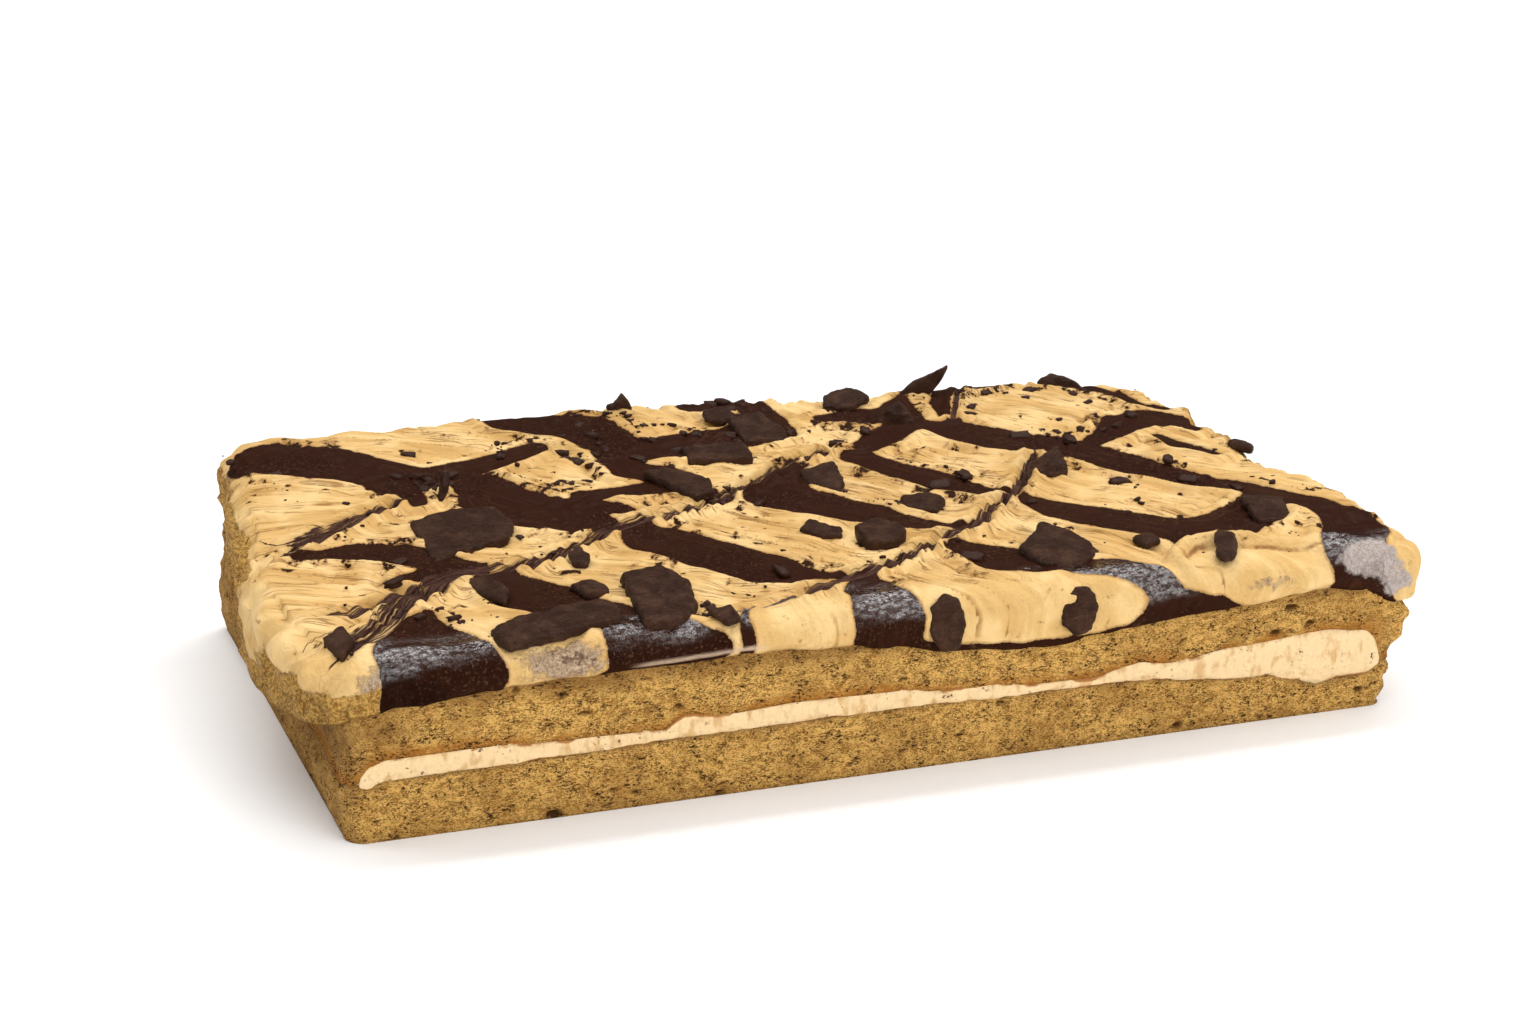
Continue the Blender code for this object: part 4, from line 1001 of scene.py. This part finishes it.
def side_marks(points, on_side):
    """Marks that sit mostly on the sides: bloom, powder, a painted highlight line at the lip, crust, gloss
    and smoothness.
    """
    x, y, z = points.T
    lip = from_table(FRONT_LIP, x)
    front = eased(-y, 78, 84)
    bloom = 1.4 * blob(points, (142, -85, 45), (10, 7, 5)) + 1.1 * blob(points, (151, -84, 37), (6, 6, 4))
    powder = 1.3 * blob(points, (-138, -84, 42), (8, 8, 5)) + blob(points, (-92, -86, 43), (13, 4, 5))
    powder = powder + 0.5 * blob(points, (112, -88, 42), (14, 4, 4))
    wave = 1.9 + 0.7 * rough_noise(points, 14, 37)
    # A pale painted highlight line just above the front lip
    lip_highlight = eased(-np.abs(z - lip - wave), -0.95, -0.4) * eased(-np.abs(x + 56), -20, -14) * front
    left_end = eased(-x, 143, 150) * eased(y, -24, -8) * eased(-z, -54, -49)
    corner = eased(-x, 116, 136) * eased(lip + 9 - z, 0, 6) * eased(-y, 30, 60)
    left_foot = 0.8 * eased(-x, 146, 154) * eased(-z, -36, -28)
    right_end = eased(x, 144, 152) * eased(y, -78, -50) * 0.75
    crust = np.clip(left_end + corner + right_end + left_foot, 0, 1)
    streak = 4.5 * rough_noise(points * (0.4, 1, 1), 6, 38)
    gloss = eased(-y, 72, 79) * eased(z - lip + streak, 6, 11)
    return {
        "bloom": bloom.clip(0, 1),
        "powder": powder.clip(0, 1.2),
        # rim: the painted highlight line at the lip
        "rim": lip_highlight,
        "crust": crust * np.minimum(1, 5 * on_side),
        "gloss": gloss,
        "smooth": np.maximum(eased(-y, 74, 81), np.minimum(1, 4 * on_side)),
    }


def side_relief(points, on_side, crust, edge):
    """How far the topping's surface stands out: soft lumps at the ends, crumbs where the crust shows."""
    x, y = points.T[:2]
    bumps = 0.5 * rough_noise(points, 6, 44) + 0.25 * lattice_noise(points, 2.2, 45)
    wet = eased(-y, 70, 76) * eased(-edge, -1.5, 0.5)
    push = bumps * (0.35 + 0.9 * on_side) * (1 - 0.75 * wet)
    push = push + 0.7 * wet * rough_noise(points * (0.6, 1, 1.3), 8, 57, 2)
    ends = np.maximum(eased(-x, 140, 154), eased(x, 143, 154))
    knobs = 1 - pit_shape(points, 8.5, 48) * 1.5
    push = push + ends * (on_side > 0) * (2.2 * knobs.clip(-1) - 0.9)
    for cx, cy, cz, radius, out in LEFT_LUMPS:
        push = push + 1.5 * out * blob(points, (cx, cy, cz), (radius * 0.5,) * 3)
    grit = rough_noise(points, 3.2, 49, 3)
    push = push + crust * (1.9 * grit - 0.4)
    return push * (on_side < 0.9)


def end_closing(x):
    """1 at the cake's two ends, where the sponges meet round the filling, and 0 along its length."""
    return np.maximum(eased(-x, 143.0, 147.5), eased(x, 145.0, 149.5))


def closed_height(x, level, floor):
    """A face of the filling, drawn together with the other at the cake's ends."""
    meeting = floor + np.where(x < 0, 1.6, 3.0)
    closing = end_closing(x)
    return level * (1 - closing) + meeting * closing


def base_top(x, y):
    floor = filling_floor(x, y)
    return closed_height(x, floor, floor)


def top_bottom(x, y):
    return closed_height(x, filling_roof(x, y), filling_floor(x, y))


def flat_level(z):
    return lambda x, y: np.full(np.shape(x), float(z))


def side_ring(us, vs, level, grow=0.0):
    """A loop round the sponge at a height that may differ from point to point."""
    columns, rows = len(us) - 1, len(vs) - 1
    right = level[columns:columns + rows + 1]
    left = np.append(level[2 * columns + rows:], level[0])[::-1]
    return np.column_stack([sponge_outline(us, vs, left, right, grow), level])


def stacked(rings):
    """Points and faces of a closed body made of rings from its bottom to its top.

    One more ring, set in, carries each of the two faces that the cake hides.
    """
    rings = [rings[0] * CLOSING_INSET, *rings, rings[-1] * CLOSING_INSET]
    count = len(rings[0])
    points = np.concatenate(rings)
    loops = [np.arange(count) + count * k for k in range(len(rings))]
    faces = [loops[0][::-1].tolist(), loops[-1].tolist()]
    for below, above in zip(loops, loops[1:]):
        faces += ring_faces(above, below).tolist()
    return points, faces


def sponge_layer(name, node, lower, upper, material, top_layer):
    """One sponge: a rough, pored side all round, closed by plain faces that the cake hides."""
    us, vs = spread(LAYER_COLUMNS, 0.002), spread(LAYER_ROWS, 0.004)
    x, y = sponge_outline(us, vs, FLOOR_AT_BACK, FLOOR_AT_BACK).T
    low, high = lower(x, y), upper(x, y)
    shares = np.linspace(0, 1, SPONGE_SIDE_ROWS + 1)
    rings = [side_ring(us, vs, share * high + (1 - share) * low) for share in shares]
    points, faces = stacked(rings)
    x, y, z = points.T
    wobble = rough_noise(points, 7, 50)
    if top_layer:
        above = z - np.resize(low, len(points))
        soak = 0.95 * eased(-above, -3.6 - 3.4 * wobble, -0.2) * eased(wobble, -0.7, 0.0)
    else:
        soak = eased(z - np.resize(high, len(points)), -1.4 - 0.7 * wobble, -0.1) * 0.7
    crust = np.clip(eased(-x, 144, 149) * (0.65 + 0.6 * wobble), 0, 1)
    # Pits pressed into the side, which the material darkens with painted shade
    spot = pit_shape(points * (0.8, 0.8, 1.5), 9.0, 51)
    size = 0.05 + 0.13 * lattice_noise(points, 16, 52)
    hole = eased(-spot, -size - 0.08, -size)
    small = eased(-pit_shape(points, 2.2, 53), -0.42, -0.20)
    # Painted shade: under the topping's lip along the upper sponge's front, near the floor on the base, and
    # in two patches under the overhang at the left end and the front left corner
    if top_layer:
        shade = eased(z - 34.5 - 2.0 * wobble, -3.0, 3.0) * eased(-y, 70, 84)
    else:
        shade = eased(-z, -3.5, 0.0) * 0.4
    overhang_shade = blob(points, (-149, -62, 25), (6, 16, 5)) + blob(points, (-140, -86, 30), (9, 4, 4))
    shade = np.clip(shade + overhang_shade, 0, 1)
    values = {"soak": soak, "crust": crust, "pit": hole, "shade": shade}
    piece = make_piece(name, points, faces, material, values)
    baked = np.maximum(eased(-x, 143, 149), eased(x, 120, 150) * eased(-y, 20, 80))
    rough = rough_noise(points, 3.0, 54, 4)
    coarse = rough_noise(points, 9, 55, 3)
    on_side = np.ones(len(points))
    on_side[:2 * len(rings[0])] = 0
    on_side[-2 * len(rings[0]):] = 0
    nubs = 1 - 1.6 * pit_shape(points, 6.0, 56)
    ragged = eased(x, 146, 153) * (1.6 * nubs - 0.9)
    push = 0.3 * rough - 0.4 * small - 1.5 * hole + baked * (0.9 * coarse + 0.6 * rough) - 0.1 + ragged
    push_out(piece, push * on_side)
    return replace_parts(piece, node)


def filling_piece(material):
    """The cream between the sponges, swelling out a little in soft lumps."""
    us, vs = spread(LAYER_COLUMNS, 0.002), spread(LAYER_ROWS, 0.004)
    flat = sponge_outline(us, vs, FLOOR_AT_BACK, FLOOR_AT_BACK)
    x, y = flat.T
    low, high = base_top(x, y), top_bottom(x, y)
    open_part = eased(high - low, 0.3, 2.5)
    extra = (0.15 + 0.7 * rough_noise(np.column_stack([flat, low]), 5.0, 60)) * open_part
    low, high = low - extra.clip(-0.2) - 0.1, high + extra.clip(-0.2) + 0.1
    outward = flat / np.linalg.norm(flat / (SPONGE_RIGHT, SPONGE_BACK), axis=1)[:, None]
    outward /= np.linalg.norm(outward, axis=1)[:, None]
    rings = []
    for share in np.linspace(0, 1, FILLING_SIDE_ROWS + 1):
        ring = side_ring(us, vs, low + (high - low) * share)
        arch = math.sqrt(max(0.0, 1 - (2 * share - 1) ** 2))
        lump = rough_noise(ring, 5.0, 61)
        curtain = lattice_noise(ring * (1, 1, 0.2), 4.5, 63) * eased(x, 60, 100)
        swell = (0.5 + 0.8 * eased(x, 80, 130) + 0.8 * lump + 1.0 * curtain) * arch - 0.3 * (1 - arch)
        ring[:, :2] += outward * (swell * open_part - 0.8 * (1 - open_part))[:, None]
        rings.append(ring)
    points, faces = stacked(rings)
    wobble = rough_noise(points, 8, 62)
    near_roof = eased(points[:, 2] - np.resize(high, len(points)), -1.6, -0.1) * eased(wobble, -0.2, 0.5)
    near_floor = eased(np.resize(low, len(points)) - points[:, 2], -0.9, 0.0) * eased(wobble, -0.5, 0.4)
    values = {"tint": np.clip(near_roof + near_floor, 0, 1)}
    piece = make_piece("filling_lumpy", points, faces, material, values)
    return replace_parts(piece, "cream_filling")


def worn_shard(node, number, material):
    """A shard of the solid's own form, with softened, chipped edges and a grained face."""
    mesh = node.data.copy()
    piece = placed(f"chocolate_shard_{number:02d}", mesh)
    with edited(mesh) as bm:
        bmesh.ops.remove_doubles(bm, verts=bm.verts, dist=SHARD_WELD * MM)
    remesh = piece.modifiers.new("fine", "REMESH")
    remesh.mode = "VOXEL"
    remesh.voxel_size = SHARD_VOXEL * MM
    graph = bpy.context.evaluated_depsgraph_get()
    fine = bpy.data.meshes.new_from_object(piece.evaluated_get(graph))
    piece.modifiers.clear()
    with edited(fine) as bm:
        for _ in range(SHARD_WEAR):
            bmesh.ops.smooth_vert(bm, verts=bm.verts, factor=0.5,
                                  use_axis_x=True, use_axis_y=True, use_axis_z=True)
    piece.data = fine
    fine.materials.clear()
    fine.materials.append(material)
    fine.shade_smooth()
    places = vertex_places(fine)
    chips = rough_noise(places, 4.0, 70 + number, 4)
    grain = lattice_noise(places * (0.3, 1.4, 1.0), 1.0, 71)
    push_out(piece, 0.85 * chips + 0.16 * grain + 0.05)
    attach(piece, "root")
    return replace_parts(piece, node.name)


def shard_footprints():
    """Each shard's centre in plan and how far it reaches."""
    rows = []
    for name in sorted(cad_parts):
        if name.startswith("shard_"):
            low, high = (np.array(corner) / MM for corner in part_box(name))
            rows.append(((low + high)[:2] / 2, (high - low)[:2].max() / 2))
    return rows


def flake_places():
    """Places for small flakes: seeded, on top of the cake and clear of the shards."""
    draw = random.Random(FLAKE_SEED)
    taken = shard_footprints()
    places = []
    while len(places) < FLAKE_COUNT:
        spot = np.array([draw.uniform(-145, 142), draw.uniform(-76, 76)])
        clear = all(np.linalg.norm(spot - centre) > reach + 6 for centre, reach in taken)
        if clear and band_distance(spot[:1], spot[1:])[0] < draw.uniform(-2, 16):
            places.append((spot, draw.uniform(1.3, 2.6), draw.uniform(0, math.tau), draw.random()))
            taken.append((spot, 1.0))
    return places


def chip_shape(cuts):
    """Points and faces of a small rough block that spans -1 to 1."""
    bm = bmesh.new()
    bmesh.ops.create_cube(bm, size=2)
    bmesh.ops.subdivide_edges(bm, edges=bm.edges, cuts=cuts, use_grid_fill=True)
    bm.verts.ensure_lookup_table()
    points = np.array([vert.co for vert in bm.verts])
    faces = np.array([[vert.index for vert in face.verts] for face in bm.faces])
    bm.free()
    return points, faces


def joined_chips(name, chips, cuts, material):
    """Many small chips in one piece. Each is (centre, half sizes, heading, tilt)."""
    shape, faces = chip_shape(cuts)
    points, all_faces = [], []
    for number, (centre, half, heading, tilt) in enumerate(chips):
        rough = shape * (1 - 0.10 * (np.abs(shape) ** 4).sum(axis=1))[:, None]
        rough = rough * (1 + 0.28 * lattice_noise(shape * 1.3 + 7.7 * number, 1.0, 80)[:, None])
        turn = np.array(Matrix.Rotation(heading, 3, "Z") @ Matrix.Rotation(tilt, 3, "X"))
        points.append((rough * half) @ turn.T + centre)
        all_faces += (faces + number * len(shape)).tolist()
    points = np.clip(np.concatenate(points), BOX_LOW, BOX_HIGH)
    return make_piece(name, points, all_faces, material)


def chocolate_flakes(material):
    places = flake_places()
    heights = surface(*np.transpose([spot for spot, *_ in places])) + FLAKE_LIFT
    chips = []
    for ((x, y), size, heading, flatness), height in zip(places, heights):
        half = size * np.array((1.4, 0.8, 0.35 + 0.2 * flatness))
        chips.append(((x, y, height), half, heading, 0.5 * flatness))
    return joined_chips("chocolate_flakes", chips, 3, material)


def chocolate_crumbs(material):
    """Fine crumbs, thickest near the bands' edges and in a few drifts."""
    draw = np.random.default_rng(FLAKE_SEED)
    tries = 30 * CRUMB_COUNT
    x, y = draw.uniform(-150, 150, tries), draw.uniform(-80, 82, tries)
    edge = band_distance(x, y)
    drift = flat_noise(x, y, 18, 81, 2)
    knot = flat_noise(x, y, 5, 82).clip(0)
    likely = (0.005 + 9.0 * drift.clip(0) ** 1.8 * knot**2) * np.exp(-(edge - 2).clip(0) / 7)
    chosen = np.flatnonzero((edge > -1) & (draw.random(len(x)) < likely))[:CRUMB_COUNT]
    x, y = x[chosen], y[chosen]
    size = 0.22 + 0.95 * draw.random(len(x)) ** 4
    piles = np.array(CHOCOLATE_PILES)[draw.integers(0, len(CHOCOLATE_PILES), PILE_CRUMBS)]
    spread_x, spread_y = draw.normal(0, 0.55, (2, len(piles))) * piles[:, 2]
    x, y = np.append(x, piles[:, 0] + spread_x), np.append(y, (piles[:, 1] + spread_y).clip(-80, 82))
    size = np.append(size, 0.8 + 1.5 * draw.random(len(piles)) ** 2)
    height = surface(x, y) - 0.1 * size
    heading, tilt = draw.uniform(0, math.tau, len(x)), draw.uniform(-0.5, 0.5, len(x))
    halves = size[:, None] * np.array((1.3, 0.9, 0.6))
    chips = [((x[k], y[k], height[k]), halves[k], heading[k], tilt[k]) for k in range(len(x))]
    return joined_chips("chocolate_crumbs", chips, 1, material)


def studio():
    """A plain pale floor and soft light, mostly from above."""
    mesh = bpy.data.meshes.new("floor")
    with edited(mesh) as bm:
        bmesh.ops.create_grid(bm, x_segments=8, y_segments=8, size=FLOOR_REACH)
    paint = Paint("pale_floor")
    tone = paint.layered(FLOOR, (paint.noise(300.0, 2.0), FLOOR_LIGHT))
    mesh.materials.append(paint.finish(Base_Color=tone, Roughness=0.7))
    floor = placed("floor", mesh)

    world = bpy.data.worlds.new("studio")
    world.use_nodes = True
    nodes = Nodes(world.node_tree)
    sky = nodes.node("TexCoord", {}, "Generated")

    def share(axis, low, high):
        """Eased from 0 to 1 as a direction's part along an axis goes from low to high."""
        return nodes.ramp(nodes.vector("DOT_PRODUCT", sky, axis, "Value"), low, high)

    strip = share(STRIP_AXIS, -0.13, -0.09) * STRIP_LIGHT * share(STRIP_AXIS, 0.13, 0.09)
    for side in (1, -1):
        strip = strip * share((side, 0, 0), -0.75, -0.55)
    strip = strip * share((0, 0, 1), 0.2, 0.3)
    background = world.node_tree.nodes["Background"]
    nodes.put(background.inputs["Strength"], share(SKY_AXIS, 0.12, 1.0) * HIGH_SKY + LOW_SKY + strip)
    nodes.put(background.inputs["Color"], (1.0, 1.0, 1.0))
    bpy.context.scene.world = world

    light = bpy.data.lights.new("front_fill", "AREA")
    light.size, light.energy = FILL_SIZE, FILL_POWER
    lamp = placed("front_fill", light)
    lamp.location = FILL_PLACE
    lamp.rotation_euler = (-Vector(FILL_PLACE)).to_track_quat("-Z", "Y").to_euler()


def photo_camera():
    """The camera, turned by its yaw, pitch and roll."""
    yaw, pitch, roll = (math.radians(angle) for angle in (YAW, PITCH, ROLL))
    ahead = Vector((math.sin(yaw) * math.cos(pitch), math.cos(yaw) * math.cos(pitch), -math.sin(pitch)))
    level = Vector((math.cos(yaw), -math.sin(yaw), 0.0))
    upright = level.cross(ahead)
    right = math.cos(roll) * level + math.sin(roll) * upright
    up = math.cos(roll) * upright - math.sin(roll) * level
    data = bpy.data.cameras.new("camera")
    data.sensor_width = SENSOR
    data.lens = FOCAL_PIXELS * SENSOR / PHOTO_WIDTH
    data.clip_start, data.clip_end = 0.01, 50.0
    camera = placed("camera", data)
    turn = Matrix((right, up, -ahead)).transposed().to_4x4()
    camera.matrix_world = Matrix.Translation(Vector(EYE) * MM) @ turn
    bpy.context.scene.camera = camera


bpy.context.scene.view_settings.view_transform = "Standard"
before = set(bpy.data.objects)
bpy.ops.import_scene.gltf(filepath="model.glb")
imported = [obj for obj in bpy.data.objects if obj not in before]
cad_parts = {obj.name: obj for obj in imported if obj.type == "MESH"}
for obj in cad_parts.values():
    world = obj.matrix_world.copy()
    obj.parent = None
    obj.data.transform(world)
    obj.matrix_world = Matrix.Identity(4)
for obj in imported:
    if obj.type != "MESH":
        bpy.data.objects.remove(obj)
cad_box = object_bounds()
BOX_LOW, BOX_HIGH = (np.array(corner) / MM for corner in cad_box)

studio()
photo_camera()
marbled_topping(topping_material())
sponge_layer("sponge_base_baked", "base_sponge", flat_level(0.0), base_top,
             sponge_material("sponge_base", BASE_SOAKED), False)
sponge_layer("sponge_top_baked", "top_sponge", top_bottom, flat_level(SPONGE_TOP),
             sponge_material("sponge_top", TOP_SOAKED), True)
filling_piece(filling_material())
chocolate = shard_material()
for index, shard_name in enumerate(sorted(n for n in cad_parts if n.startswith("shard_")), start=1):
    worn_shard(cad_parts[shard_name], index, chocolate)
crumb_chocolate = crumb_material()
chocolate_flakes(crumb_chocolate)
chocolate_crumbs(crumb_chocolate)
